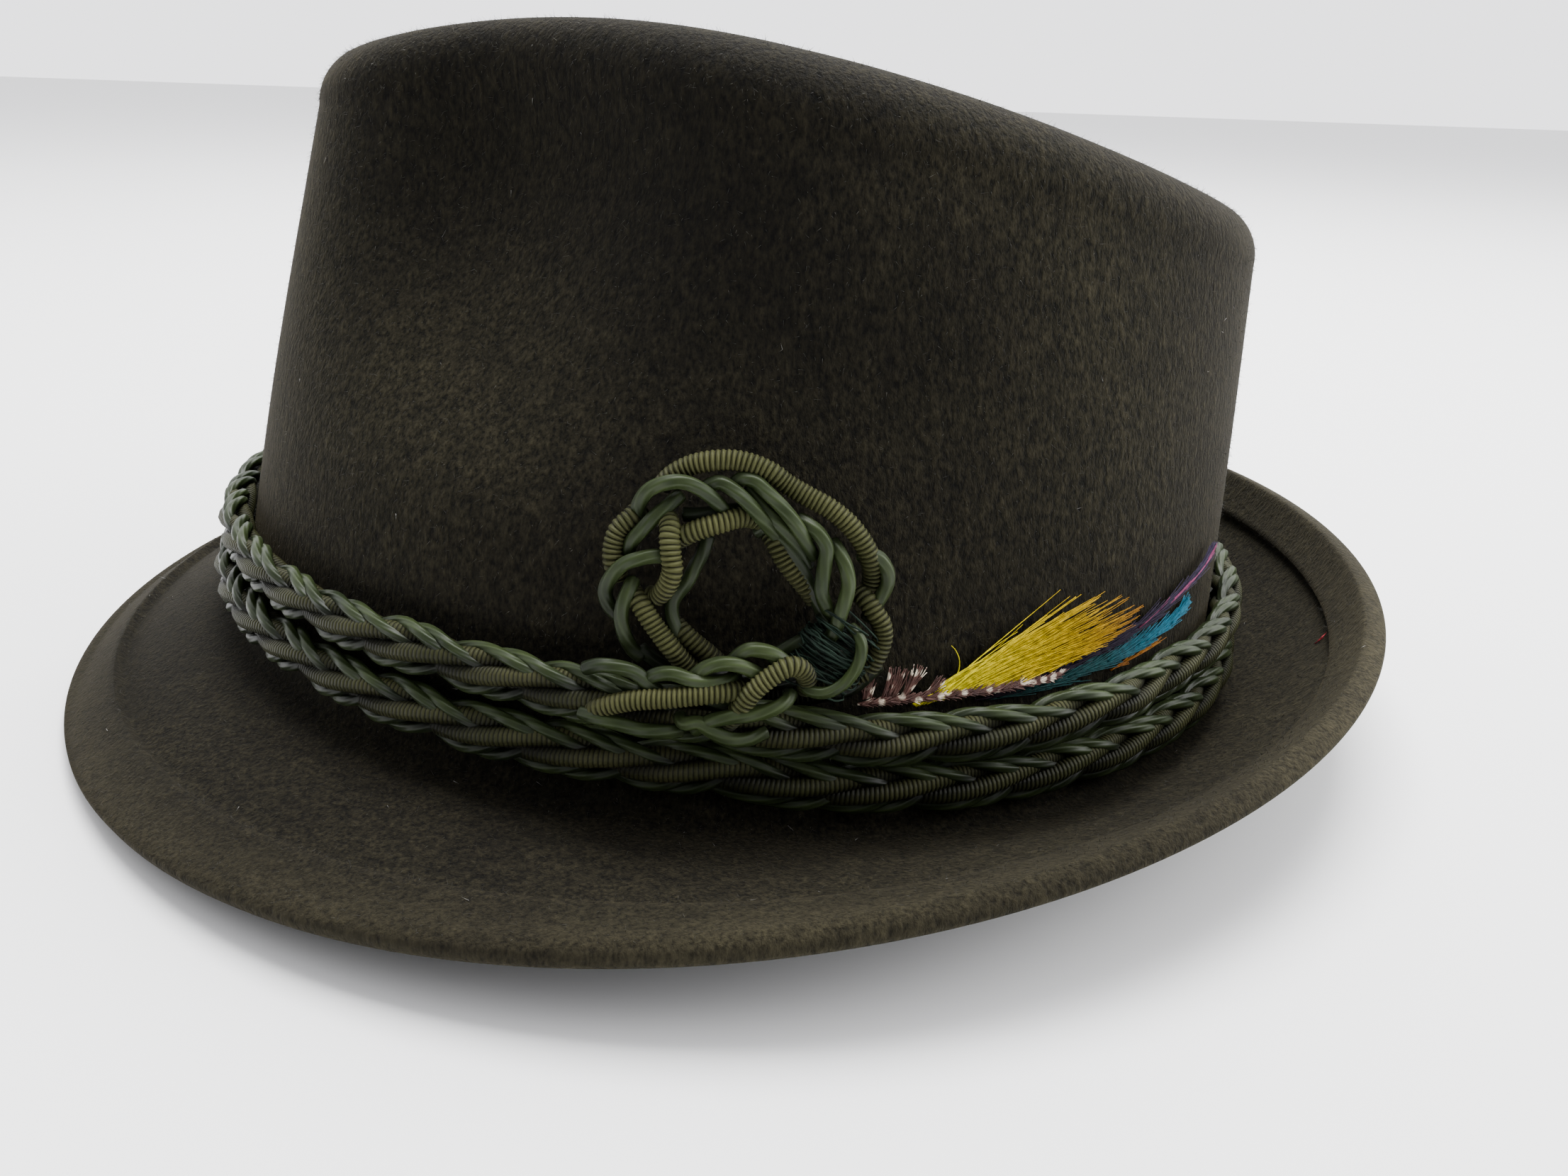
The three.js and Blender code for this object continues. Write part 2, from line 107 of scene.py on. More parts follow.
def dented(x, y, z):
    """Narrows the upper crown by a bell curve along x, then takes a bell-shaped hollow off each side."""
    pinch_along = np.exp(-((x - PINCH["along"]) / PINCH["length"]) ** 2)
    pinch_up = ease((z - PINCH["start"]) / (PINCH["full"] - PINCH["start"]))
    side = np.abs(y) * (1.0 - PINCH["share"] * pinch_along * pinch_up)
    for dent in DENTS:
        away = ((x - dent["along"]) / dent["length"]) ** 2 + ((z - dent["height"]) / dent["tall"]) ** 2
        side = side - np.minimum(dent["depth"] * np.exp(-away), side)
    return np.stack(np.broadcast_arrays(x, np.sign(y) * side, z), -1)


def upper_oval(turn):
    """Oval at the crown's upper edge: half length by cosine, half width by sine."""
    half_length = np.where(np.cos(turn) > 0.0, CROWN_BACK, CROWN_FRONT)
    return half_length * np.cos(turn), CROWN_SIDE * np.sin(turn)


def outward(turn):
    """Unit direction square to the head oval: its gradient, brought to length one."""
    x, y = np.cos(turn) / HEAD_HALF_LENGTH, np.sin(turn) / HEAD_HALF_WIDTH
    length = np.hypot(x, y)
    return np.stack([x / length, y / length, 0.0 * x], -1)


def brim_slopes(turn):
    """Slope of the brim, side rise plus end rise times cosine, split between its break and its edge."""
    middle = np.radians(SIDE_RISE + END_RISE * np.cos(turn))
    return middle * BRIM_CURL, middle * (2.0 - BRIM_CURL)


def top_zone(turn, share):
    """Crown top: straight from the crease line out to the ridge, sunk by an eased drop."""
    along = np.cos(turn)
    oval_x, oval_y = upper_oval(turn)
    inner_x, inner_y = oval_x - CROWN_EDGE * along, oval_y - CROWN_EDGE * np.sin(turn)
    drop = CREASE_DEPTH * (1.0 - CREASE_EASE * (1.0 + along) / 2.0)
    fall = ease((1.0 - share) / (1.0 - CREASE_FLAT))
    x = mix(CREASE_MIDDLE + CREASE_HALF * along, inner_x, share)
    return dented(x, inner_y * share, ridge_height(along) - drop * fall)


def ridge_zone(turn, share):
    """Ridge: a quarter circle from the top over to the wall."""
    angle = share * np.pi / 2.0
    oval_x, oval_y = upper_oval(turn)
    inset = CROWN_EDGE * (1.0 - np.sin(angle))
    z = ridge_height(np.cos(turn)) - CROWN_EDGE * (1.0 - np.cos(angle))
    return dented(oval_x - np.cos(turn) * inset, oval_y - np.sin(turn) * inset, z)


def wall_top(turn):
    """Height at which the ridge meets the wall."""
    return ridge_height(np.cos(turn)) - CROWN_EDGE


def wall_zone(turn, share):
    """Crown wall: from the upper oval down to the head oval, leaning by a power of the height."""
    oval_x, oval_y = upper_oval(turn)
    inwards = (1.0 - share) ** CROWN_LEAN
    x = mix(HEAD_HALF_LENGTH * np.cos(turn), oval_x, inwards)
    y = mix(HEAD_HALF_WIDTH * np.sin(turn), oval_y, inwards)
    return dented(x, y, mix(wall_top(turn), BREAK_RADIUS, share))


def brim_point(turn, out, z):
    """Point a distance out of the head oval, at a height."""
    x, y = HEAD_HALF_LENGTH * np.cos(turn), HEAD_HALF_WIDTH * np.sin(turn)
    foot = np.stack(np.broadcast_arrays(x, y, z), -1)
    return foot + outward(turn) * np.asarray(out)[..., None]


def break_zone(turn, share):
    """Break: an arc from the upright wall round to the brim's first slope."""
    angle = np.pi + (np.pi / 2.0 + brim_slopes(turn)[0]) * share
    return brim_point(turn, BREAK_RADIUS * (1.0 + np.cos(angle)), BREAK_RADIUS * (1.0 + np.sin(angle)))


def brim_zone(turn, share):
    """Brim: an arc in section, whose slope turns evenly from its break to its edge."""
    start, end = brim_slopes(turn)
    bend = end - start
    turned = np.where(np.abs(bend) < 1e-6, 1e-6, bend * share)
    run = (BRIM_WIDTH - BREAK_RADIUS) * share
    out = BREAK_RADIUS * (1.0 + np.sin(start)) + run * (np.sin(start + turned) - np.sin(start)) / turned
    z = BREAK_RADIUS * (1.0 - np.cos(start)) + run * (np.cos(start) - np.cos(start + turned)) / turned
    return brim_point(turn, out, z)


def grid_normals(skin):
    """Unit normals of a grid whose columns close on themselves: step along a row crossed with step down."""
    around = np.roll(skin, -1, axis=1) - np.roll(skin, 1, axis=1)
    down = np.gradient(skin, axis=0)
    mirror = (-np.arange(skin.shape[1])) % skin.shape[1]
    down[0] = skin[1] - skin[1][mirror]
    normals = np.cross(down, around)
    length = np.linalg.norm(normals, axis=2, keepdims=True)
    normals = normals / np.maximum(length, 1e-9)
    fold_ends = [0, skin.shape[1] // 2]
    normals[0, fold_ends] = (0.0, 0.0, 1.0)
    normals[0, :, 1] = 0.0
    return normals


def tilted(points):
    """Turn about the Y axis by the rest tilt, then a lift, from the level frame to the resting one."""
    x, y, z = points[..., 0], points[..., 1], points[..., 2]
    c, s = math.cos(REST_TILT), math.sin(REST_TILT)
    return np.stack([x * c + z * s, y, z * c - x * s + REST_LIFT], -1)


def mesh_object(name, points, quads, material, uv=None, painted_light_level=None):
    """Mesh from arrays of points in millimetres and faces of point numbers, shaded smooth.

    painted_light_level is a number for each point, 0 deep between the cords (painted shade) and 1 on the
    outside (painted light).
    """
    mesh = bpy.data.meshes.new(name)
    mesh.vertices.add(len(points))
    mesh.vertices.foreach_set("co", (np.asarray(points, np.float32) * MM).ravel())
    corners = quads.shape[1]
    mesh.loops.add(quads.size)
    mesh.loops.foreach_set("vertex_index", quads.astype(np.int32).ravel())
    mesh.polygons.add(len(quads))
    mesh.polygons.foreach_set("loop_start", np.arange(0, quads.size, corners, dtype=np.int32))
    mesh.polygons.foreach_set("use_smooth", np.ones(len(quads), bool))
    if uv is not None:
        mesh.uv_layers.new(name="UVMap").data.foreach_set("uv", uv.astype(np.float32).ravel())
    if painted_light_level is not None:
        mesh.attributes.new("painted_light_level", "FLOAT", "POINT").data.foreach_set("value", painted_light_level.astype(np.float32))
    mesh.update(calc_edges=True)
    mesh.validate()
    mesh.materials.append(material)
    piece = bpy.data.objects.new(name, mesh)
    bpy.context.scene.collection.objects.link(piece)
    return piece


class Finish:
    """A material under way: each method adds one node of its look and gives that node's output."""

    def __init__(self, name, roughness, specular=0.5):
        self.material = bpy.data.materials.new(name)
        self.material.use_nodes = True
        self.tree = self.material.node_tree
        self.shader = self.tree.nodes["Principled BSDF"]
        self.shader.inputs["Roughness"].default_value = roughness
        self.shader.inputs["Specular IOR Level"].default_value = specular

    def node(self, kind, settings=(), inputs=()):
        """Any node, with its settings by name and its inputs by name or number, as values or links."""
        node = self.tree.nodes.new("ShaderNode" + kind)
        for key, value in dict(settings).items():
            setattr(node, key, value)
        for key, value in dict(inputs).items():
            if hasattr(value, "is_output"):
                self.tree.links.new(value, node.inputs[key])
            else:
                node.inputs[key].default_value = value
        return node

    def place(self):
        """The object's own coordinates, in metres."""
        return self.node("TexCoord").outputs["Object"]

    def noise(self, place, scale, detail=2.0, roughness=0.5):
        """Noise from 0 to 1 of the given scale."""
        inputs = {"Vector": place, "Scale": scale, "Detail": detail, "Roughness": roughness}
        return self.node("TexNoise", inputs=inputs).outputs["Fac"]

    def maths(self, operation, *values):
        """One sum on two or three values."""
        return self.node("Math", {"operation": operation}, dict(enumerate(values))).outputs[0]

    def ranged(self, value, low, high, to_low=0.0, to_high=1.0, kind="LINEAR"):
        """A value taken from one range to another and held at its ends."""
        inputs = {"Value": value, "From Min": low, "From Max": high, "To Min": to_low, "To Max": to_high}
        return self.node("MapRange", {"interpolation_type": kind}, inputs).outputs["Result"]

    def ramp(self, factor, stops):
        """Colour ramp through stops of place and colour."""
        ramp = self.node("ValToRGB", inputs={"Fac": factor})
        elements = ramp.color_ramp.elements
        while len(elements) < len(stops):
            elements.new(0.5)
        for element, (place, colour) in zip(elements, stops):
            element.position = place
            element.color = (*colour, 1.0)
        return ramp.outputs["Color"]

    def scaled(self, colour, factor):
        """A colour times a factor."""
        return self.node("VectorMath", {"operation": "SCALE"}, {0: colour, "Scale": factor}).outputs[0]

    def made(self, colour, height=None, strength=1.0, distance=0.001):
        """The material with its colour and, where a height is given, its bump."""
        self.tree.links.new(colour, self.shader.inputs["Base Color"])
        if height is not None:
            bump = self.node("Bump", inputs={"Height": height, "Strength": strength, "Distance": distance})
            self.tree.links.new(bump.outputs["Normal"], self.shader.inputs["Normal"])
        return self.material


def mottled(name, scale, stops, roughness, specular=0.5, detail=2.0):
    """Plain finish whose colour follows a noise through the stops."""
    finish = Finish(name, roughness, specular)
    return finish.made(finish.ramp(finish.noise(finish.place(), scale, detail), stops))


# Painted light and shade on the felt, as paler and darker patches: middle in millimetres, reach, and how much
# paler or darker.
PAINTED_LIGHT_AND_SHADE_PLACES = (
    ((-45.0, -56.0, 68.0), 42.0, 1.45),
    ((-56.0, -64.0, 49.0), 28.0, 0.85),
    ((-48.0, -35.0, 103.0), 40.0, 0.6),
    ((-11.0, -59.0, 103.0), 38.0, 0.65),
    ((8.0, -71.0, 81.0), 42.0, 0.7),
    ((60.0, -60.0, 74.0), 46.0, 1.2),
    ((40.0, -62.0, 100.0), 34.0, 1.15),
    ((106.0, -68.0, 8.0), 75.0, 1.45),
    ((-124.0, -22.0, 14.0), 60.0, 0.76),
)
FELT_COLOURS = [(0.3, (0.0062, 0.0053, 0.0029)), (0.7, (0.0105, 0.0092, 0.0050))]
FELT_SHEEN = {"Sheen Weight": 0.04, "Sheen Roughness": 0.3, "Sheen Tint": (0.85, 0.70, 0.36, 1.0)}
HAT_HALF_LENGTH, HAT_HALF_WIDTH = 0.1299, 0.1272
CLOUD_SCALE, FIBRE_SCALE, TUFT_SCALE = 26.0, 1500.0, 480.0


def felt_material():
    """Brushed fur felt: olive brown, mottled in soft clouds, with fine fibre grain and a faint sheen.

    The grain is strands times tufts. Towards the brim's edge, by the length of (x / half length,
    y / half width), it is calmed by a power and made paler. Each patch of painted light and shade
    multiplies it by its gain in its middle and by 1 at its reach.
    """
    finish = Finish("brushed_felt_painted_light_and_shade", 0.95, 0.12)
    place = finish.place()
    base = finish.ramp(finish.noise(place, CLOUD_SCALE, 4.0, 0.55), FELT_COLOURS)
    combed = finish.node("Mapping", inputs={"Vector": place, "Scale": (1.0, 1.0, 0.45)}).outputs["Vector"]
    fibres = finish.noise(combed, FIBRE_SCALE, 3.0, 0.65)
    grain = finish.noise(combed, TUFT_SCALE, 4.0, 0.7)
    strands = finish.ranged(fibres, 0.35, 0.72, 0.25, 2.3)
    tufts = finish.ranged(grain, 0.3, 0.75, 0.5, 1.7)
    shade = finish.maths("MULTIPLY", strands, tufts)
    shares = (1.0 / HAT_HALF_LENGTH, 1.0 / HAT_HALF_WIDTH, 0.0)
    shares = finish.node("Mapping", inputs={"Vector": place, "Scale": shares}).outputs["Vector"]
    from_middle = finish.node("VectorMath", {"operation": "LENGTH"}, {0: shares}).outputs["Value"]
    shade = finish.maths("POWER", shade, finish.ranged(from_middle, 0.90, 0.96, 1.0, 0.55))
    # Colour made paler towards the brim's edge by this factor of the distance out.
    shade = finish.maths("MULTIPLY", shade, finish.ranged(from_middle, 0.92, 0.995, 0.84, 1.7))
    # Painted light and shade: each patch multiplies the felt's colour, paler where its gain is over 1 and
    # darker where it is under 1.
    for centre, reach, gain in PAINTED_LIGHT_AND_SHADE_PLACES:
        ends = {0: place, 1: [MM * side for side in centre]}
        away = finish.node("VectorMath", {"operation": "DISTANCE"}, ends).outputs["Value"]
        painted_lobe = finish.ranged(away, 0.0, reach * MM, gain, 1.0, "SMOOTHERSTEP")
        shade = finish.maths("MULTIPLY", shade, painted_lobe)
    for socket, value in FELT_SHEEN.items():
        finish.shader.inputs[socket].default_value = value
    return finish.made(finish.scaled(base, shade), finish.maths("ADD", fibres, grain), 0.6, 0.0006)


felt_turn = np.arange(FELT_COLUMNS) / FELT_COLUMNS * 2.0 * np.pi


def felt_zone(zone, shares, raised=0.0):
    """Rows of one zone of the skin, with the height that the outer face stands above it."""
    rows = np.stack([zone(felt_turn, np.full_like(felt_turn, share)) for share in shares])
    return rows, np.full(len(rows), raised)


welt_start = 1.0 - WELT_WIDTH / (BRIM_WIDTH - BREAK_RADIUS)
welt_full = welt_start + WELT_STEP / (BRIM_WIDTH - BREAK_RADIUS)
zones = [
    felt_zone(top_zone, np.linspace(0.0, 1.0, TOP_ROWS)),
    felt_zone(ridge_zone, np.linspace(0.0, 1.0, RIDGE_ROWS)[1:]),
    felt_zone(wall_zone, np.linspace(0.0, 1.0, WALL_ROWS)[1:]),
    felt_zone(break_zone, np.linspace(0.0, 1.0, BREAK_ROWS)[1:]),
    felt_zone(brim_zone, np.linspace(0.0, welt_start, BRIM_ROWS)[1:]),
    *[felt_zone(brim_zone, [mix(welt_start, welt_full, share)], height) for share, height in WELT_STEP_ROWS],
    felt_zone(brim_zone, np.linspace(welt_full, WELT_LAST_SHARE, WELT_ROWS), WELT_THICKNESS),
    felt_zone(brim_zone, [1.0], WELT_THICKNESS - WELT_ROUNDING),
]
felt_skin = np.concatenate([rows for rows, raised in zones])
felt_raised = np.concatenate([raised for rows, raised in zones])
felt_normals = grid_normals(felt_skin)
felt_outer = tilted(felt_skin + felt_normals * felt_raised[:, None, None])
felt_inner = tilted(felt_skin - felt_normals * FELT_WALL)
edge_out = outward(felt_turn)
nose = [
    tilted(
        felt_skin[-1]
        + felt_normals[-1] * ((WELT_THICKNESS - FELT_WALL) / 2.0 + NOSE_HALF_HEIGHT * math.sin(angle))
        + edge_out * NOSE_REACH * math.cos(angle)
    )
    for angle in NOSE_ANGLES
]
# Felt that would lie below the ground is pressed up to it, both faces alike.
sunk = np.maximum(-felt_inner[..., 2], 0.0)
felt_inner[..., 2] += sunk
felt_outer[..., 2] += sunk
for row in nose:
    row[..., 2] += sunk[-1]
felt_rings = np.concatenate([felt_outer, np.stack(nose), felt_inner[::-1]])
middle_x = (felt_rings[..., 0].min() + felt_rings[..., 0].max()) / 2.0


def settled(points):
    """Resting place of points given in the level frame: tilted, then centred along X."""
    return tilted(points) - np.array([middle_x, 0.0, 0.0])


# The first and the last row close on themselves: a point there shares its number with its mirror.
felt_points = felt_rings - np.array([middle_x, 0.0, 0.0])
row_count = len(felt_points)
numbers = np.arange(row_count * FELT_COLUMNS).reshape(row_count, FELT_COLUMNS)
fold = np.minimum(np.arange(FELT_COLUMNS), (-np.arange(FELT_COLUMNS)) % FELT_COLUMNS)
numbers[0] = numbers[0][fold]
numbers[-1] = numbers[-1][fold]
used, compact = np.unique(numbers, return_inverse=True)
numbers = compact.reshape(numbers.shape)
beside = np.roll(numbers, -1, axis=1)
felt_quads = np.stack([numbers[:-1], numbers[1:], beside[1:], beside[:-1]], -1).reshape(-1, 4)
felt_body = mesh_object("felt", felt_points.reshape(-1, 3)[used], felt_quads, felt_material())
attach(felt_body, "root")
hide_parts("felt_body")


def needles(roots, ways, lengths, thickness, seed):
    """Closed three-sided needles: a small triangle at the root, square to the way, and a point as tip."""
    spin = np.random.default_rng(seed).uniform(0.0, 2.0 * np.pi, len(roots))
    upright = np.abs(ways[:, 2:3]) > 0.9
    first = unit(np.cross(ways, np.where(upright, (1.0, 0.0, 0.0), (0.0, 0.0, 1.0))))
    second = np.cross(ways, first)
    corners = [
        roots + thickness * (first * np.cos(spin + turn)[:, None] + second * np.sin(spin + turn)[:, None])
        for turn in (0.0, 2.0 * np.pi / 3.0, 4.0 * np.pi / 3.0)
    ]
    tips = roots + ways * lengths[:, None]
    points = np.stack([*corners, tips], 1).reshape(-1, 3)
    start = np.arange(len(roots))[:, None] * 4
    faces = np.stack([start + np.array(face) for face in ((0, 2, 1), (0, 1, 3), (1, 2, 3), (2, 0, 3))], 1)
    return points, faces.reshape(-1, 3)


# Nap: short fur fibres that the brush has raised out of the felt. Each leaves a place on the outer
# face, found by mixing the four points around it, and leans down the nap and to either side.
NAP_COUNT = 38000
NAP_LENGTHS, NAP_THICKNESS, NAP_DEPTH = (0.5, 1.4), 0.035, 0.05
NAP_STANDS, NAP_LEANS, NAP_SPREAD = (0.25, 0.9), 0.5, 0.6
NAP_COLOURS = [(0.35, (0.008, 0.007, 0.0045)), (0.62, (0.022, 0.02, 0.0135)), (0.8, (0.10, 0.095, 0.08))]
chance = np.random.default_rng(7)
nap_row = chance.uniform(0.0, len(felt_outer) - 1.001, NAP_COUNT)
nap_column = chance.uniform(0.0, FELT_COLUMNS, NAP_COUNT)
corner_row, corner_column = nap_row.astype(int), nap_column.astype(int) % FELT_COLUMNS
next_column = (corner_column + 1) % FELT_COLUMNS
row_share, column_share = (nap_row % 1.0)[:, None], (nap_column % 1.0)[:, None]
outer = felt_points[: len(felt_outer)]
nap_roots = (
    outer[corner_row, corner_column] * (1.0 - row_share) * (1.0 - column_share)
    + outer[corner_row + 1, corner_column] * row_share * (1.0 - column_share)
    + outer[corner_row, next_column] * (1.0 - row_share) * column_share
    + outer[corner_row + 1, next_column] * row_share * column_share
)
nap_down = unit(outer[corner_row + 1, corner_column] - outer[corner_row, corner_column] + 1e-9)
nap_side = unit(outer[corner_row, next_column] - outer[corner_row, corner_column] + 1e-9)
nap_normal = unit(np.cross(nap_down, nap_side))
nap_way = unit(
    nap_normal * chance.uniform(*NAP_STANDS, (NAP_COUNT, 1))
    + nap_down * chance.normal(NAP_LEANS, NAP_SPREAD, (NAP_COUNT, 1))
    + nap_side * chance.normal(0.0, NAP_SPREAD, (NAP_COUNT, 1))
)
nap_lengths = chance.uniform(*NAP_LENGTHS, NAP_COUNT)
nap_points, nap_faces = needles(nap_roots - nap_normal * NAP_DEPTH, nap_way, nap_lengths, NAP_THICKNESS, 11)
nap = mesh_object("nap", nap_points, nap_faces, mottled("fur_fibre", 900.0, NAP_COLOURS, 0.8, detail=1.0))
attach(nap, "root")

# Lint: short white fibres that have settled on the brushed felt, and one short snippet of red sewing
# thread that clings to the brim's back, inside the step of its folded edge.
LINT_COUNT, LINT_LENGTHS, LINT_THICKNESS, LINT_HEIGHT = 150, (0.4, 1.5), 0.05, 0.12
LINT_COLOURS = [(0.3, (0.05, 0.048, 0.045)), (0.7, (0.30, 0.29, 0.27))]
lint_pick = chance.integers(0, NAP_COUNT, LINT_COUNT)
lint_side = nap_side[lint_pick] * chance.normal(0.0, 1.0, (LINT_COUNT, 1))
lint_way = unit(lint_side + nap_down[lint_pick] * chance.normal(0.0, 1.0, (LINT_COUNT, 1)))
lint_roots = nap_roots[lint_pick] + nap_normal[lint_pick] * LINT_HEIGHT
lint_points, lint_faces = needles(
    lint_roots, lint_way, chance.uniform(*LINT_LENGTHS, LINT_COUNT), LINT_THICKNESS, 12
)
lint = mesh_object("white_lint", lint_points, lint_faces, mottled("white_lint", 300.0, LINT_COLOURS, 0.9))
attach(lint, "root")

RED_THREAD_PLACE = (115.5, -38.0, 14.0)
RED_THREAD_HEIGHT, RED_THREAD_THICKNESS = 0.3, 0.17
# Three plies: where each starts along the thread, how far it turns aside, and its length.
RED_STARTS, RED_ASIDE, RED_LENGTHS = (-1.9, -1.1, -0.6), (-0.2, 0.1, 0.4), (2.2, 2.4, 2.0)
RED_COLOURS = [(0.3, (0.30, 0.01, 0.02)), (0.7, (0.55, 0.03, 0.05))]
nearest = np.argmin(np.linalg.norm(nap_roots - np.array(RED_THREAD_PLACE), axis=1))
red_way = unit(nap_down[nearest] + 0.2 * nap_side[nearest])
red_middle = nap_roots[nearest] + nap_normal[nearest] * RED_THREAD_HEIGHT
red_points, red_faces = needles(
    red_middle + red_way * np.array(RED_STARTS)[:, None],
    unit(red_way + nap_side[nearest] * np.array(RED_ASIDE)[:, None]),
    np.array(RED_LENGTHS), RED_THREAD_THICKNESS, 13
)
red_thread = mesh_object("red_thread", red_points, red_faces, mottled("red_thread", 900.0, RED_COLOURS, 0.8))
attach(red_thread, "root")

# Two ropes round the foot of the crown, one on the other, each a plait of three bundles.
# A bundle is a thick cord wound round with silk, so that it shows fine ribs across, and two thin
# smooth cords beside it; the ropes lie on the wall and the lower one rests on the brim.
ROPE_TURNS = 14
ROPE_SAMPLES = 32
ROPE_WAY_OUT = 3.35
THICK_RADIUS, THIN_RADIUS = 1.55, 0.95
THICK_SWAY, THICK_WEAVE, THICK_RISE = 1.5, 1.6, 0.3
THIN_SWAY, THIN_WEAVE = 3.45, 1.3
THIN_LAG, THIN_LEAD = math.radians(40.0), 0.33
WAVER, THIN_WAVER = (0.22, 0.14), 0.12
WAVES, THIN_WAVES = (5, 23), 9
RIB_PITCH = 0.72
LOWER_ROPE_HEIGHT, UPPER_ROPE_HEIGHT = 7.3, 17.0
# Course of each rope on the wearer's left: off the wall and above its height, by how far along it is.
UPPER_ROPE_ROUTE = {
    "along": (-99.5, -78.0, -40.0, -18.0, 12.0, 21.0, 38.0, 56.0, 70.0),
    "off": (0.0, 0.0, 0.0, 2.9, 2.9, 3.0, 3.0, 3.0, 0.0),
    "rise": (0.6, 1.8, 2.3, 3.2, 0.9, 0.0, 0.0, 1.0, 0.1),
}
LOWER_ROPE_ROUTE = {
    "along": (-99.5, -70.0, -5.0, 14.0, 30.0, 60.0),
    "off": (0.0, 0.0, 0.0, 0.0, 0.0, 0.0),
    "rise": (0.8, 2.5, 2.8, 1.1, 0.2, 0.0),
}
LEFT_FADE = 4.0


def eased_between(place, places, values):
    """Value at each place, eased between the values given at the places on either side of it."""
    places, values = np.array(places), np.array(values)
    row = np.clip(np.searchsorted(places, place) - 1, 0, len(places) - 2)
    share = (place - places[row]) / (places[row + 1] - places[row])
    return mix(values[row], values[row + 1], ease(share))


def rope_middle(turn, level, route):
    """Middle line of a rope in the level frame: on the wall at a height, then out along the wall's normal."""
    on_left = ease(-np.sin(turn) * LEFT_FADE)
    along = HEAD_HALF_LENGTH * np.cos(turn)
    off = eased_between(along, route["along"], route["off"]) * on_left
    height = level + eased_between(along, route["along"], route["rise"]) * on_left
    share = (wall_top(turn) - height) / (wall_top(turn) - BREAK_RADIUS)
    return wall_zone(turn, share) + outward(turn) * (ROPE_WAY_OUT + off)[:, None]


def plait(middle, out, up, turns):
    """Cords of a three-bundle plait along a closed middle line, as (path, out, thick or thin).

    With t = turns x the share of the line, a bundle's thick cord winds round the middle line at
    sin t up and cos t out, so it rises on the outer side.  Its two thin cords follow later by the
    lag, one a little ahead of the other, and swing wider: sway x sin t up, -weave x sin 2t out.
    The three bundles are a third of a turn apart, and each wavers a little.
    """
    share = np.arange(len(middle)) / len(middle)
    cords = []
    for bundle in range(3):
        t = 2.0 * np.pi * (turns * share + bundle / 3.0)
        waver = WAVER[0] * np.sin(2.0 * np.pi * (WAVES[0] + bundle) * share + bundle)
        waver = waver + WAVER[1] * np.sin(2.0 * np.pi * WAVES[1] * share)
        cords.append(("thick", THICK_SWAY * np.sin(t) + THICK_RISE + waver, THICK_WEAVE * np.cos(t)))
        for lead in (THIN_LEAD, -THIN_LEAD):
            later = t - THIN_LAG + lead
            later = later + THIN_WAVER * np.sin(2.0 * np.pi * (THIN_WAVES + bundle) * share)
            cords.append(("thin", THIN_SWAY * np.sin(later) + waver, -THIN_WEAVE * np.sin(2.0 * later)))
    return [
        (middle + up * rise[:, None] + out * reach[:, None], out, kind)
        for kind, rise, reach in cords
    ]


def tube(path, reference, radius, sides, closed=True):
    """Tube round a path: circles square to the path, turned to a reference direction.

    Gives points, four-cornered faces and, for each face corner, UV with u the length along
    the path in millimetres and v the share of the way round.
    """
    ahead = np.roll(path, -1, 0) - np.roll(path, 1, 0) if closed else np.gradient(path, axis=0)
    tangent = unit(ahead)
    first = unit(reference - tangent * np.sum(reference * tangent, -1, keepdims=True))
    second = np.cross(tangent, first)
    angle = np.arange(sides) / sides * 2.0 * np.pi
    radius = np.broadcast_to(radius, len(path))[:, None, None]
    circle = first[:, None] * np.cos(angle)[:, None] + second[:, None] * np.sin(angle)[:, None]
    points = path[:, None] + circle * radius
    rows = np.arange(len(path) if closed else len(path) - 1)
    row, column = np.meshgrid(rows, np.arange(sides), indexing="ij")
    next_row, next_column = (row + 1) % len(path), (column + 1) % sides
    corners = ((row, column), (next_row, column), (next_row, next_column), (row, next_column))
    quads = np.stack([of_row * sides + of_column for of_row, of_column in corners], -1).reshape(-1, 4)
    walked = np.concatenate([[0.0], np.cumsum(np.linalg.norm(np.roll(path, -1, 0) - path, axis=1))])
    u = np.stack([walked[row], walked[row + 1], walked[row + 1], walked[row]], -1)
    v = np.stack([column, column, column + 1, column + 1], -1) / sides
    uv = np.stack([u, v], -1).reshape(-1, 4, 2)[:, ::-1].reshape(-1, 2)
    return points.reshape(-1, 3), quads[:, ::-1], uv


def joined(parts):
    """Several sets of points, faces and UV as one, with the faces' point numbers moved on."""
    starts = np.cumsum([0] + [len(part[0]) for part in parts[:-1]])
    points = np.concatenate([part[0] for part in parts])
    quads = np.concatenate([part[1] + start for part, start in zip(parts, starts)])
    return points, quads, np.concatenate([part[2] for part in parts])


# Painted shade and light on the cords: the colour factor deep between them and on the outside.
DEEP_SHADE, OUTER_SHADE = 0.12, 1.25


def painted_shade_between_cords(finish):
    """How pale a cord is: painted shade deep between the cords and painted light on the outside."""
    painted_light_level = finish.node("Attribute", {"attribute_name": "painted_light_level"}).outputs["Fac"]
    return finish.ranged(painted_light_level, 0.0, 1.0, DEEP_SHADE, OUTER_SHADE)


def cord_coordinates(finish):
    """A cord's u, the length along it in millimetres, and v, the share of the way round it."""
    uv = finish.node("UVMap", {"uv_map": "UVMap"}).outputs["UV"]
    parts = finish.node("SeparateXYZ", inputs={"Vector": uv}).outputs
    return parts["X"], parts["Y"]


WOUND_COLOURS = [(0.3, (0.034, 0.037, 0.0125)), (0.7, (0.062, 0.063, 0.024))]
# Painted shade in the grooves between the ribs: the colour factor from groove to crest.
RIB_GROOVE_PAINTED_SHADE = [(0.0, (0.06, 0.06, 0.06)), (0.62, (1.0, 1.0, 1.0))]
SMOOTH_COLOURS = [(0.3, (0.010, 0.0165, 0.0045)), (0.7, (0.027, 0.039, 0.0120))]
SMOOTH_THREADS, SMOOTH_LEAN = 6.0, 1.1


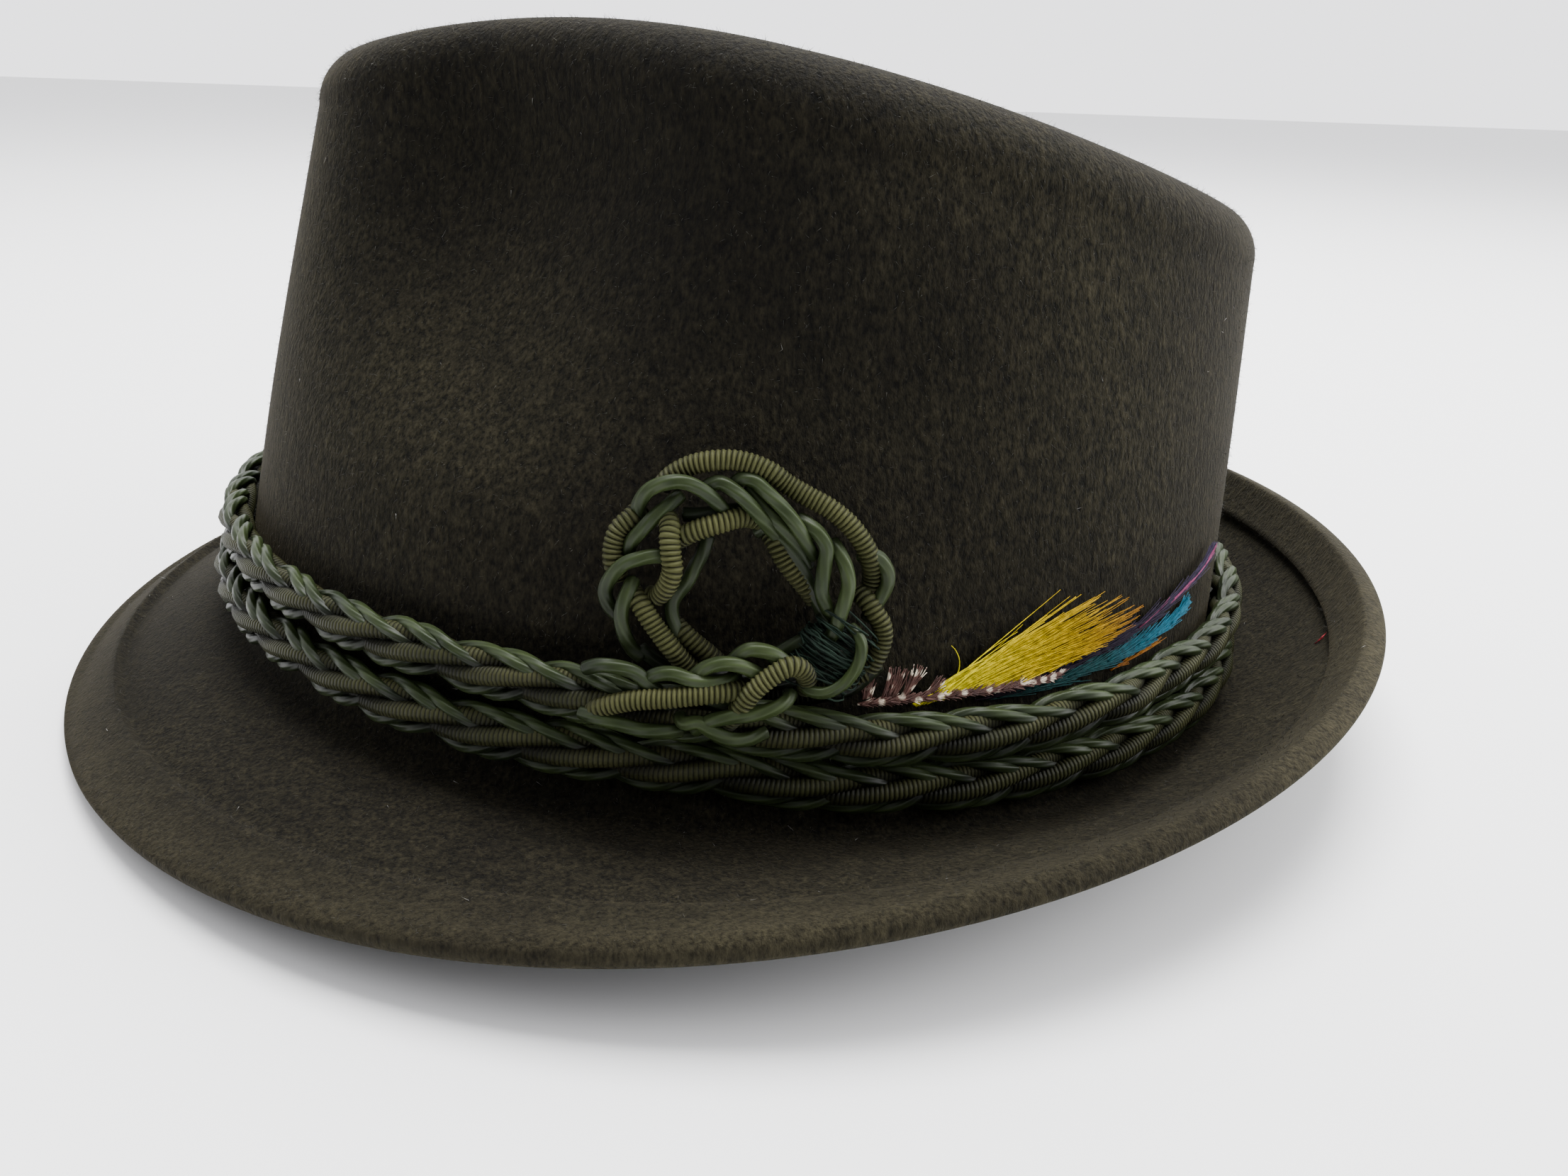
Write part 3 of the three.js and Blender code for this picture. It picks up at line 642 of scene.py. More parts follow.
def wound_cord_material():
    """Silk-wound cord: ribs across it, abs(sin(pi x (u / pitch + v))), with painted shade between them."""
    finish = Finish("wound_cord", 0.55, 0.12)
    u, v = cord_coordinates(finish)
    along = finish.maths("ADD", u, finish.maths("MULTIPLY", v, RIB_PITCH))
    wave = finish.maths("SINE", finish.maths("MULTIPLY", along, math.pi / RIB_PITCH))
    rib = finish.maths("ABSOLUTE", wave)
    place = finish.place()
    crest = finish.ramp(finish.noise(place, 90.0, 3.0), WOUND_COLOURS)
    inputs = {0: 1.0, 6: crest, 7: finish.ramp(rib, RIB_GROOVE_PAINTED_SHADE)}
    colour = finish.node("Mix", {"data_type": "RGBA", "blend_type": "MULTIPLY"}, inputs).outputs[2]
    height = finish.maths("MULTIPLY_ADD", finish.noise(place, 2600.0), 0.15, rib)
    return finish.made(finish.scaled(colour, painted_shade_between_cords(finish)), height, 0.9, 0.00028)


def smooth_cord_material():
    """Thin rayon cord: green, satin, with fine threads slantwise round it, sin(lean x u + 2 pi threads v)."""
    finish = Finish("smooth_cord", 0.45, 0.2)
    u, v = cord_coordinates(finish)
    lean = finish.maths("MULTIPLY", u, SMOOTH_LEAN)
    wave = finish.maths("SINE", finish.maths("MULTIPLY_ADD", v, 2.0 * math.pi * SMOOTH_THREADS, lean))
    base = finish.ramp(finish.noise(finish.place(), 120.0, 3.0), SMOOTH_COLOURS)
    threads = finish.ranged(wave, -1.0, 1.0, 0.78, 1.08)
    shade = finish.maths("MULTIPLY", threads, painted_shade_between_cords(finish))
    return finish.made(finish.scaled(base, shade), wave, 0.5, 0.00008)


wound_cord, smooth_cord = wound_cord_material(), smooth_cord_material()
cord_looks = {
    "thick": {"radius": THICK_RADIUS, "sides": 10, "material": wound_cord},
    "thin": {"radius": THIN_RADIUS, "sides": 8, "material": smooth_cord},
}
# Distances from a rope's middle line at which a cord counts as deep and as outermost, for its painted shade.
DEEP_CORD, OUTER_CORD = 2.1, 4.4


def cords_as_pieces(name, cords, middle, node):
    """One object for the thick cords and one for the thin ones; both ride on the hat and hide the model's
    part of the given name.
    """
    for kind, look in cord_looks.items():
        routes = [(path, out) for path, out, of_kind in cords if of_kind == kind]
        parts = [tube(path, out, look["radius"], look["sides"]) for path, out in routes]
        points, quads, uv = joined(parts)
        centre = np.tile(np.repeat(middle, look["sides"], 0), (len(parts), 1))
        painted_light_level = (np.linalg.norm(points - centre, axis=1) - DEEP_CORD) / (OUTER_CORD - DEEP_CORD)
        piece = mesh_object(f"{name}_{kind}", points, quads, look["material"], uv, np.clip(painted_light_level, 0.0, 1.0))
        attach(piece, "root")
        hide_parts(node)


rope_turn = np.arange(ROPE_TURNS * ROPE_SAMPLES) / (ROPE_TURNS * ROPE_SAMPLES) * 2.0 * np.pi
for name, level, route in (
    ("lower_rope", LOWER_ROPE_HEIGHT, LOWER_ROPE_ROUTE),
    ("upper_rope", UPPER_ROPE_HEIGHT, UPPER_ROPE_ROUTE),
):
    middle = settled(rope_middle(rope_turn, level, route))
    along = unit(np.roll(middle, -1, 0) - np.roll(middle, 1, 0))
    out = unit(tilted(outward(rope_turn)) - tilted(0.0 * outward(rope_turn)))
    out = unit(out - along * np.sum(out * along, -1, keepdims=True))
    up = np.cross(out, along)
    up = up * np.sign(up[:, 2:3])
    cords_as_pieces(name, plait(middle, out, up, ROPE_TURNS), middle, name)

# Plaited ring: the same cords, worked by hand into a ring 40 mm across that lies against the
# wearer's left side of the crown.  Each stretch of cord that shows is one route: along, height and
# distance off the wall, which dips where the cord goes under another.
RING_THICK_ROUTES = (
    ((-14.1, 48.5, 5.1), (-12.8, 49.8, 6.0), (-10.7, 51.2, 6.5), (-8.0, 52.2, 6.9),
     (-4.8, 52.7, 6.9), (-2.0, 52.4, 6.9), (0.4, 51.6, 6.8), (2.5, 50.4, 6.4), (5.4, 49.1, 6.5),
     (8.4, 47.8, 6.9), (11.1, 46.0, 7.0), (13.0, 44.0, 6.9), (14.4, 41.9, 6.4), (15.3, 39.4, 5.2),
     (15.4, 37.6, 4.6)),
    ((13.7, 36.9, 4.6), (14.7, 35.9, 5.9), (15.7, 34.5, 6.4), (16.9, 32.8, 6.4), (17.4, 30.7, 6.0),
     (17.1, 28.3, 5.4), (16.3, 26.0, 4.6)),
    ((-16.9, 45.4, 4.6), (-18.0, 43.9, 5.7), (-19.5, 42.2, 6.0), (-20.1, 40.2, 6.0),
     (-20.0, 38.3, 5.9), (-19.3, 36.2, 4.9)),
    ((-17.6, 34.7, 4.7), (-16.0, 33.5, 6.5), (-14.8, 32.0, 7.0), (-13.2, 30.0, 7.0),
     (-11.4, 27.9, 6.9), (-9.7, 25.9, 6.0), (-8.0, 24.3, 5.1)),
    ((-13.2, 44.6, 6.2), (-12.5, 43.6, 7.5), (-12.4, 42.2, 8.2), (-12.1, 40.3, 8.3),
     (-11.8, 38.4, 8.0), (-12.5, 36.2, 7.0), (-13.7, 34.6, 5.7), (-15.1, 34.3, 4.9)),
    ((-11.5, 42.2, 5.5), (-10.2, 43.0, 6.9), (-8.4, 43.9, 7.4), (-6.1, 44.8, 7.4),
     (-3.2, 45.8, 6.7), (-1.0, 45.7, 5.7)),
    ((0.6, 44.2, 4.6), (1.7, 42.7, 5.4), (2.8, 41.0, 5.5), (4.1, 39.5, 5.5), (6.0, 37.6, 5.1),
     (7.8, 35.6, 4.4)),
    ((-11.5, 30.6, 4.2), (-9.8, 29.5, 5.1), (-8.3, 28.4, 5.2), (-6.7, 27.2, 4.9), (-5.2, 25.9, 4.2)),
    ((-9.6, 25.8, 4.6), (-7.0, 23.1, 3.2), (-2.9, 21.5, 2.4), (2.0, 21.0, 2.2), (7.1, 21.5, 2.4),
     (12.0, 23.2, 3.2), (15.9, 25.4, 4.4)),
)
RING_THIN_ROUTES = (
    ((-16.9, 44.3, 5.1), (-16.9, 45.6, 6.4), (-15.4, 47.5, 7.8), (-13.1, 48.7, 8.5),
     (-10.8, 49.1, 8.5), (-8.6, 48.5, 8.2), (-6.3, 47.0, 7.2), (-5.3, 45.8, 5.7)),
    ((-8.7, 48.5, 6.2), (-7.8, 49.2, 6.9), (-6.2, 49.7, 7.4), (-4.1, 48.7, 7.8), (-2.4, 47.4, 8.0),
     (-0.6, 45.8, 7.5), (1.0, 44.3, 6.2), (2.2, 43.0, 5.1)),
    ((-4.6, 49.8, 6.2), (-3.5, 50.5, 7.0), (-1.8, 50.3, 7.5), (-0.2, 49.1, 8.0), (1.6, 47.7, 8.2),
     (3.3, 46.1, 8.2), (4.6, 44.5, 7.8), (5.8, 42.9, 6.9), (6.8, 41.5, 5.7)),
    ((-2.7, 49.6, 6.0), (-0.2, 46.9, 6.7), (2.3, 44.9, 6.9), (4.8, 42.3, 6.2), (6.3, 40.0, 5.2)),
    ((4.5, 46.2, 6.2), (5.6, 45.6, 7.2), (7.0, 44.6, 7.8), (8.1, 42.9, 8.0), (8.1, 40.9, 7.8),
     (8.0, 38.8, 7.7), (8.1, 36.9, 7.4), (9.3, 34.6, 6.5), (10.5, 33.3, 5.7)),
    ((9.3, 43.5, 6.0), (10.0, 42.3, 7.4), (10.9, 40.6, 8.0), (11.4, 38.5, 8.2), (11.2, 36.4, 8.2),
     (10.7, 33.9, 7.8), (10.3, 31.8, 7.2), (9.5, 30.1, 6.4)),
    ((13.2, 42.0, 5.4), (14.4, 42.1, 6.4), (15.7, 41.8, 6.5), (17.0, 40.1, 6.4), (17.2, 38.2, 6.2),
     (16.4, 36.2, 6.0), (15.7, 34.6, 5.5), (15.3, 33.2, 4.7)),
    ((-11.5, 47.7, 5.9), (-13.2, 45.9, 6.9), (-14.7, 44.4, 7.2), (-16.2, 42.7, 7.0),
     (-17.7, 41.0, 6.2), (-18.3, 39.5, 5.1)),
    ((-12.8, 39.8, 6.5), (-14.4, 39.8, 7.2), (-16.2, 39.3, 7.5), (-18.2, 38.4, 7.4),
     (-19.9, 36.6, 6.7), (-20.8, 34.4, 6.0), (-20.4, 32.4, 5.4), (-19.3, 30.9, 4.7)),
    ((-17.1, 36.4, 5.9), (-17.4, 35.3, 6.9), (-17.9, 33.6, 7.2), (-18.2, 31.3, 7.0),
     (-17.8, 28.9, 6.4), (-16.9, 26.8, 5.4), (-15.5, 25.4, 4.7)),
    ((-7.6, 43.0, 4.6), (-8.3, 40.6, 4.9), (-9.1, 38.9, 5.5), (-9.9, 37.0, 5.7), (-11.6, 34.3, 5.5),
     (-11.7, 32.1, 5.5), (-11.0, 29.9, 5.4), (-10.7, 27.3, 4.9)),
    ((-11.0, 45.3, 4.9), (-8.6, 45.6, 5.5), (-6.3, 46.1, 5.7), (-3.9, 46.6, 5.4), (-1.5, 46.1, 4.9)),
    ((-1.3, 44.1, 4.7), (0.1, 44.7, 5.2), (2.5, 43.5, 5.9), (4.7, 40.9, 5.9), (6.4, 38.2, 5.5),
     (8.6, 34.3, 5.1), (10.3, 31.8, 4.9)),
    ((2.1, 26.9, 5.1), (3.9, 28.5, 5.7), (5.7, 29.7, 6.0), (7.3, 30.5, 6.0)),
    ((-15.8, 26.6, 4.6), (-13.0, 24.5, 4.0), (-9.0, 21.8, 3.0), (-2.7, 19.8, 2.2),
     (3.5, 19.6, 2.0), (9.8, 21.1, 2.4), (14.6, 22.7, 3.2), (17.8, 26.5, 4.4)),
    ((-11.2, 27.1, 4.4), (-8.1, 24.6, 3.4), (-3.5, 23.4, 2.8), (1.8, 22.9, 2.6), (6.9, 23.7, 2.8),
     (10.4, 25.6, 3.6), (12.5, 28.3, 4.6)),
)
# Open cords: step is the spacing of a tube's rows. A thick one's ribs start a share of its radius on.
open_looks = {
    "thick": {"radius": THICK_RADIUS, "sides": 12, "step": 0.12, "material": wound_cord},
    "thin": {"radius": 1.08, "sides": 10, "step": 0.45, "material": smooth_cord},
}
RIB_DEPTH, RIB_START, RIB_POWER = 0.2, 0.3, 0.7
CAP_LENGTH, CAP_RADIUS, SPARE_ROWS = 0.3, 0.15, 8
TURN_STEPS, TURN_LIMIT, SMALL_SHARE = 12, 0.99, 1e-3
# Distances off the wall at which the ring's cords count as deep and as outermost, for their painted shade.
RING_DEEP = {"thick": (3.8, 8.8), "thin": (4.0, 8.8)}


def left_wall(along, height, out=0.0):
    """Point off the wearer's left of the crown's outer face, and the face's normal there.

    The turn is found by steps: turn = -acos(along share), put right by the miss in x.
    """
    along, height = np.broadcast_arrays(np.asarray(along, float), np.asarray(height, float))
    turn = -np.arccos(np.clip(along / HEAD_HALF_LENGTH, -TURN_LIMIT, TURN_LIMIT))
    for attempt in range(TURN_STEPS):
        share = (wall_top(turn) - height) / (wall_top(turn) - BREAK_RADIUS)
        miss = along - wall_zone(turn, share)[..., 0]
        turn = turn + miss / (HEAD_HALF_LENGTH * -np.sin(turn))
    share = (wall_top(turn) - height) / (wall_top(turn) - BREAK_RADIUS)
    point = wall_zone(turn, share)
    around = wall_zone(turn + SMALL_SHARE, share) - point
    down = wall_zone(turn, share + SMALL_SHARE) - point
    normal = unit(np.cross(down, around))
    normal = normal * -np.sign(normal[..., 1:2])
    return point + normal * np.asarray(out)[..., None], normal


def smooth_path(points, count):
    """Curve through a list of points (Catmull-Rom), as count points."""
    given = np.asarray(points, float)
    padded = np.concatenate([[2.0 * given[0] - given[1]], given, [2.0 * given[-1] - given[-2]]])
    place = np.linspace(0.0, len(given) - 1 - 1e-9, count)
    row = place.astype(int)
    share = (place - row)[:, None]
    before, start, end, after = (padded[row + step] for step in range(4))
    return 0.5 * (
        2.0 * start
        + (end - before) * share
        + (2.0 * before - 5.0 * start + 4.0 * end - after) * share**2
        + (3.0 * start - before - 3.0 * end + after) * share**3
    )


def capped_tube(path, reference, radius, sides):
    """Tube round an open path, run on by a share of its radius to a small flat face at each end."""
    radius = np.broadcast_to(radius, len(path)).copy()
    lead = unit(path[0] - path[1]) * CAP_LENGTH * radius[0]
    tail = unit(path[-1] - path[-2]) * CAP_LENGTH * radius[-1]
    path = np.concatenate([[path[0] + lead], path, [path[-1] + tail]])
    reference = np.concatenate([reference[:1], reference, reference[-1:]])
    radius = np.concatenate([[CAP_RADIUS * radius[0]], radius, [CAP_RADIUS * radius[-1]]])
    points, quads, uv = tube(path, reference, radius, sides, closed=False)
    column = np.arange(sides)
    ends = np.stack([column * 0, column, np.roll(column, -1)], -1)[1:-1]
    return points, quads, uv, ends


def thread_object(name, threads, material, node):
    """Many open threads as one mesh; each is (path, reference, radius, sides, level, scale).

    A point's painted light level is level + scale x its height over the path along the reference, held
    between 0 and 1.
    """
    made, start = [], 0
    for path, reference, radius, sides, level, scale in threads:
        points, quads, uv, ends = capped_tube(path, reference, radius, sides)
        rows = np.clip(np.repeat(np.arange(len(path) + 2) - 1, sides), 0, len(path) - 1)
        over = np.sum((points - path[rows]) * reference[rows], -1)
        painted_light_level = np.clip(np.broadcast_to(level, len(path))[rows] + scale * over, 0.0, 1.0)
        caps = np.concatenate([ends, ends[:, ::-1] + len(points) - sides])
        faces = np.concatenate([quads[:, [0, 1, 2]], quads[:, [0, 2, 3]], caps]) + start
        uv = uv.reshape(-1, 4, 2)
        uv = np.concatenate([uv[:, [0, 1, 2]], uv[:, [0, 2, 3]], np.zeros((len(caps), 3, 2))])
        made.append((points, faces, uv, painted_light_level))
        start += len(points)
    points, faces, uv, painted_light_level = (np.concatenate(part) for part in zip(*made))
    piece = mesh_object(name, points, faces, material, uv.reshape(-1, 2), painted_light_level)
    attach(piece, "root")
    if node:
        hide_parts(node)


def cord_threads(routes, kind, deep, high, radius=None):
    """Open cords along routes on the wall; a thick one swells and sinks with abs(sin) at each rib.

    A cord's painted light level runs from 0 (painted shade) at the deep distance off the wall to 1 at the
    high one.
    """
    look = open_looks[kind]
    radius = radius or look["radius"]
    threads = []
    for route in routes:
        along, height, out = np.array(route).T
        place, normal = left_wall(along, height, out)
        given = settled(place)
        length = np.linalg.norm(np.diff(given, axis=0), axis=1).sum()
        count = int(length / look["step"]) + SPARE_ROWS
        path = smooth_path(given, count)
        reference = smooth_path(settled(place + normal) - given, count)
        width = np.full(count, radius)
        if kind == "thick":
            walked = np.concatenate([[0.0], np.cumsum(np.linalg.norm(np.diff(path, axis=0), axis=1))])
            rib = np.abs(np.sin(np.pi * (walked + RIB_START * radius) / RIB_PITCH))
            width = radius * (1.0 - RIB_DEPTH + RIB_DEPTH * rib**RIB_POWER)
        level = (smooth_path(np.stack([out] * 3, -1), count)[:, 0] - deep) / (high - deep)
        threads.append((path, reference, width, look["sides"], level, 1.0 / (high - deep)))
    return threads


for kind, routes in (("thick", RING_THICK_ROUTES), ("thin", RING_THIN_ROUTES)):
    ring_cords, material = cord_threads(routes, kind, *RING_DEEP[kind]), open_looks[kind]["material"]
    thread_object(f"plaited_ring_{kind}", ring_cords, material, "plaited_ring")

# Fold of the upper rope: in front of the ring's foot the rope's own cords are drawn up into a
# thicker place, where a thick cord is turned back on itself; routes as for the ring.
FOLD_THICK_ROUTES = (
    ((-3.1, 18.2, 8.0), (-1.8, 20.6, 10.0), (-0.3, 23.6, 11.0), (1.8, 25.9, 11.2),
     (3.9, 27.4, 11.0), (5.6, 27.2, 10.2), (6.9, 25.5, 8.6), (7.1, 23.4, 7.0)),
    ((-21.0, 17.7, 8.2), (-19.3, 19.0, 9.6), (-15.5, 20.7, 10.4), (-11.0, 21.7, 10.6),
     (-6.5, 22.7, 10.6), (-3.0, 23.3, 10.0), (-0.7, 23.6, 8.4)),
)
FOLD_THIN_ROUTES = (
    ((-8.2, 24.3, 8.8), (-6.4, 26.3, 10.0), (-4.2, 27.2, 10.4), (-1.7, 27.0, 10.4),
     (0.5, 25.8, 9.6), (2.1, 24.5, 8.4)),
    ((-3.3, 26.9, 8.6), (-1.8, 28.7, 9.4), (-0.3, 29.3, 9.8), (2.1, 28.9, 10.0), (4.1, 27.5, 9.4),
     (5.7, 26.4, 8.0)),
    ((-7.2, 17.1, 8.8), (-5.4, 19.0, 10.4), (-2.7, 20.0, 10.8), (-0.0, 20.5, 10.8),
     (2.7, 21.5, 10.6), (4.3, 22.3, 9.6), (5.1, 23.1, 8.0)),
    ((-9.4, 18.7, 8.4), (-8.5, 18.3, 10.0), (-6.7, 18.7, 10.4), (-4.8, 17.6, 10.4),
     (-2.4, 16.7, 10.2), (-0.1, 16.6, 9.4), (2.2, 17.4, 8.2)),
    ((-22.3, 17.4, 8.6), (-20.1, 17.4, 9.8), (-17.2, 17.2, 10.2), (-13.9, 16.7, 10.2),
     (-10.8, 16.7, 9.6), (-9.1, 16.7, 8.4)),
    ((-14.4, 22.6, 8.2), (-12.9, 24.4, 9.6), (-10.6, 25.1, 10.2), (-8.0, 24.5, 10.4),
     (-5.8, 24.3, 10.2), (-3.5, 24.6, 9.2), (-2.2, 25.1, 8.0)),
    ((-22.2, 23.7, 8.4), (-20.1, 24.7, 9.4), (-17.5, 24.9, 9.8), (-15.2, 24.4, 9.8),
     (-13.1, 22.5, 9.2), (-11.5, 21.2, 8.2)),
)
# Distances off the wall at which the fold's cords count as deep and as outermost, for their painted shade.
FOLD_DEEP = {"thick": (7.4, 11.8), "thin": (7.6, 11.2)}
for kind, routes in (("thick", FOLD_THICK_ROUTES), ("thin", FOLD_THIN_ROUTES)):
    fold_cords, material = cord_threads(routes, kind, *FOLD_DEEP[kind]), open_looks[kind]["material"]
    thread_object(f"upper_rope_fold_{kind}", fold_cords, material, "")

# Binding and tie: dull teal sewing thread is wound untidily round the ring where its end is
# tied down, and a thin cord hangs from there in a small loop onto the upper rope.
BINDING_MIDDLE, BINDING_WAY = (10.4, 28.2, 6.2), math.radians(60.0)
BINDING_HALF_WIDTH, BINDING_HALF_DEPTH = 4.7, 2.7
BINDING_COUNT, BINDING_BENDS, BINDING_STEPS, BINDING_SIDES = 64, 12, 30, 5
WINDING_TURNS, WINDING_RADII = (2.0, 5.5), (0.09, 0.17)
WINDING_SHIFT, WINDING_DRIFT, WINDING_WAVER = 1.9, 1.6, 0.12
WINDING_FULLNESS, WINDING_FLATNESS = (-0.5, 0.8), 0.8
BINDING_COLOURS = [(0.32, (0.0025, 0.0055, 0.0036)), (0.68, (0.0130, 0.0260, 0.0170))]
twist = np.random.default_rng(21)
windings = []
for number in range(BINDING_COUNT):
    side = twist.uniform(0.0, 2.0 * np.pi) + np.linspace(0.0, twist.uniform(*WINDING_TURNS), BINDING_BENDS)
    shift = twist.normal(0.0, WINDING_SHIFT)
    shift = shift + np.linspace(0.0, twist.normal(0.0, WINDING_DRIFT), BINDING_BENDS)
    shift = shift + twist.normal(0.0, WINDING_WAVER, BINDING_BENDS)
    fullness = twist.uniform(*WINDING_FULLNESS)
    across = (BINDING_HALF_WIDTH + fullness) * np.sin(side)
    out = BINDING_MIDDLE[2] + (BINDING_HALF_DEPTH + WINDING_FLATNESS * fullness) * np.cos(side)
    along = BINDING_MIDDLE[0] + shift * math.cos(BINDING_WAY) - across * math.sin(BINDING_WAY)
    height = BINDING_MIDDLE[1] + shift * math.sin(BINDING_WAY) + across * math.cos(BINDING_WAY)
    place, normal = left_wall(along, height, out)
    path = smooth_path(settled(place), BINDING_STEPS)
    reference = np.repeat(unit(normal[:1]), BINDING_STEPS, 0)
    windings.append((path, reference, twist.uniform(*WINDING_RADII), BINDING_SIDES, 1.0, 0.0))
teal_thread = mottled("teal_thread", 500.0, BINDING_COLOURS, 0.7, 0.12, 3.0)
thread_object("ring_binding", windings, teal_thread, "ring_binding")

TIE_ROUTES = (
    ((12.5, 32.4, 7.4), (13.2, 31.7, 8.6), (13.7, 30.0, 9.4), (13.3, 27.5, 9.6), (11.8, 25.1, 9.6),
     (9.6, 23.7, 9.4), (7.5, 23.7, 8.8), (6.4, 24.5, 7.6)),
)
# TIE_DEEP: distances off the wall for the tie's painted shade, deep and outermost.
TIE_RADIUS, TIE_DEEP = 0.9, (4.5, 9.8)
tie = cord_threads(TIE_ROUTES, "thin", *TIE_DEEP, TIE_RADIUS)
thread_object("tie_cord", tie, smooth_cord, "tie_cord")

# Feathers: a flat spray tucked behind the upper rope.  From the crown outwards: a teal blade, a dark
# violet one with a pink edge, a yellow hackle of long loose barbs, and a brown feather with white specks.
# Each is made of separate barbs along a quill, given as along, height and distance off the wall.


QUILL_POINTS, BARB_POINTS = 60, 7
BARB_SHARES, BARB_RISE, BARB_SCATTER, CURL_SCATTER = (0.75, 1.1), (-0.2, 0.35), 0.12, (0.4, 3.0)


def barbs(quill, count, lengths, angle, spread, curl, seed, off=0.0):
    """Barbs that leave a quill on one side.

    Each starts at a share of the quill and runs the length given there, times a random share, turned
    from the quill's direction by the angle (degrees, plus a random spread) and bent further by the curl.
    """
    random = np.random.default_rng(seed)
    quill = smooth_path(quill, QUILL_POINTS)
    result = []
    for share in np.sort(random.uniform(0.0, 1.0, count)):
        row = min(int(share * (QUILL_POINTS - 1)), QUILL_POINTS - 2)
        ahead = quill[row + 1] - quill[row]
        start = quill[row] + ahead * random.uniform()
        heading = math.atan2(ahead[1], ahead[0]) + math.radians(random.normal(angle, spread))
        length = np.interp(share, np.linspace(0.0, 1.0, len(lengths)), lengths)
        length = length * random.uniform(*BARB_SHARES)
        bend = math.radians(random.normal(curl, abs(curl) * CURL_SCATTER[0] + CURL_SCATTER[1]))
        way = heading + bend * np.linspace(0.0, 1.0, BARB_POINTS)
        paces = np.stack([np.cos(way), np.sin(way)], -1) * length / (BARB_POINTS - 1.0)
        flat = start[:2] + np.cumsum(paces, 0) - paces[0]
        depth = start[2] + off + random.normal(0.0, BARB_SCATTER)
        depth = depth + np.linspace(0.0, random.uniform(*BARB_RISE), BARB_POINTS)
        result.append(np.concatenate([flat, depth[:, None]], 1))
    return result


LINE_POINTS, LONG_POINTS = 80, 8
LONG_SHARES, LONG_RISE, LONG_SCATTER, BOW_SCATTER = (0.5, 1.06), (-0.3, 0.5), 0.3, 0.4
ROOT_SHARE, ROOT_POWER, ROOT_SCATTER = 0.85, 1.6, 0.12


def sweep(starts, ends, count, bow, seed, depth):
    """Long barbs combed one way: each runs from a share of one line to a share of another.

    The share of the first line is the root share x the other's to the root power, with some scatter,
    and each barb bows to its left by the bow times sin(pi x its share).
    """
    random = np.random.default_rng(seed)
    first, last = smooth_path(starts, LINE_POINTS), smooth_path(ends, LINE_POINTS)
    result = []
    for number in range(count):
        to = random.uniform()
        root = np.clip(to**ROOT_POWER * ROOT_SHARE + random.normal(0.0, ROOT_SCATTER), 0.0, 1.0)
        start, end = first[int(root * (LINE_POINTS - 1))], last[int(to * (LINE_POINTS - 1))]
        way = (end - start) * random.uniform(*LONG_SHARES)
        share = np.linspace(0.0, 1.0, LONG_POINTS)[:, None]
        left = np.array([-way[1], way[0]]) / np.hypot(*way)
        line = start + way * share + left * np.sin(np.pi * share) * (bow + random.normal(0.0, BOW_SCATTER))
        out = depth + random.normal(0.0, LONG_SCATTER)
        out = out + np.linspace(0.0, random.uniform(*LONG_RISE), LONG_POINTS)
        result.append(np.concatenate([line, out[:, None]], 1))
    return result


BARB_SIDES, BARB_TIP = 4, 0.35


def barb_threads(strands, width, steps):
    """Strands in wall coordinates turned into thin threads on the hat, each tapering evenly to its tip."""
    made = []
    for strand in strands:
        place, normal = left_wall(strand[:, 0], strand[:, 1], strand[:, 2])
        path = smooth_path(settled(place), steps)
        taper = np.linspace(1.0, BARB_TIP, steps) * width
        made.append((path, np.repeat(unit(normal[:1]), steps, 0), taper, BARB_SIDES, 1.0, 0.0))
    return made


def graded_material(name, low_x, high_x, stops, roughness=0.55):
    """Feather colour from root to tip: a ramp over the object's own X between two places in millimetres."""
    finish = Finish(name, roughness, 0.1)
    place = finish.place()
    x = finish.node("SeparateXYZ", inputs={"Vector": place}).outputs["X"]
    base = finish.ramp(finish.ranged(x, low_x * MM, high_x * MM), stops)
    return finish.made(finish.scaled(base, finish.ranged(finish.noise(place, 1100.0), 0.3, 0.7, 0.55, 1.25)))


# Each feather below is barbs(quill, count, lengths, angle, spread, curl, seed, off) on one side or both.
TEAL_COLOURS = [(0.0, (0.010, 0.036, 0.032)), (0.6, (0.010, 0.062, 0.066)), (1.0, (0.008, 0.13, 0.20))]
BLUE_QUILL = ((36.0, 18.9, 0.7), (50.0, 20.3, 0.75), (62.0, 21.9, 0.8), (72.0, 23.6, 0.85), (75.0, 24.8, 0.9))
blue_strands = [
    *barbs(BLUE_QUILL, 150, (9.0, 9.0, 7.0, 3.0), 9.0, 2.5, 5.0, 31),
    *barbs(BLUE_QUILL, 150, (8.0, 9.0, 7.0, 3.0), -8.0, 2.5, 6.0, 32),
]
teal = graded_material("teal_barb", 40, 76, TEAL_COLOURS)
blue_barbs = barb_threads(blue_strands, width=0.16, steps=9)
thread_object("blue_feather", blue_barbs, teal, "blue_feather")

ORANGE_COLOURS = [(0.0, (0.16, 0.05, 0.003)), (1.0, (0.26, 0.10, 0.006))]
ORANGE_QUILL = ((60.0, 19.6, 0.7), (69.0, 21.3, 0.8))
orange_strands = barbs(ORANGE_QUILL, 40, (4.0, 4.0), -4.0, 4.0, 6.0, 37)
orange = graded_material("orange_barb", 60, 72, ORANGE_COLOURS)
orange_barbs = barb_threads(orange_strands, width=0.14, steps=7)
thread_object("blue_feather_orange", orange_barbs, orange, "")

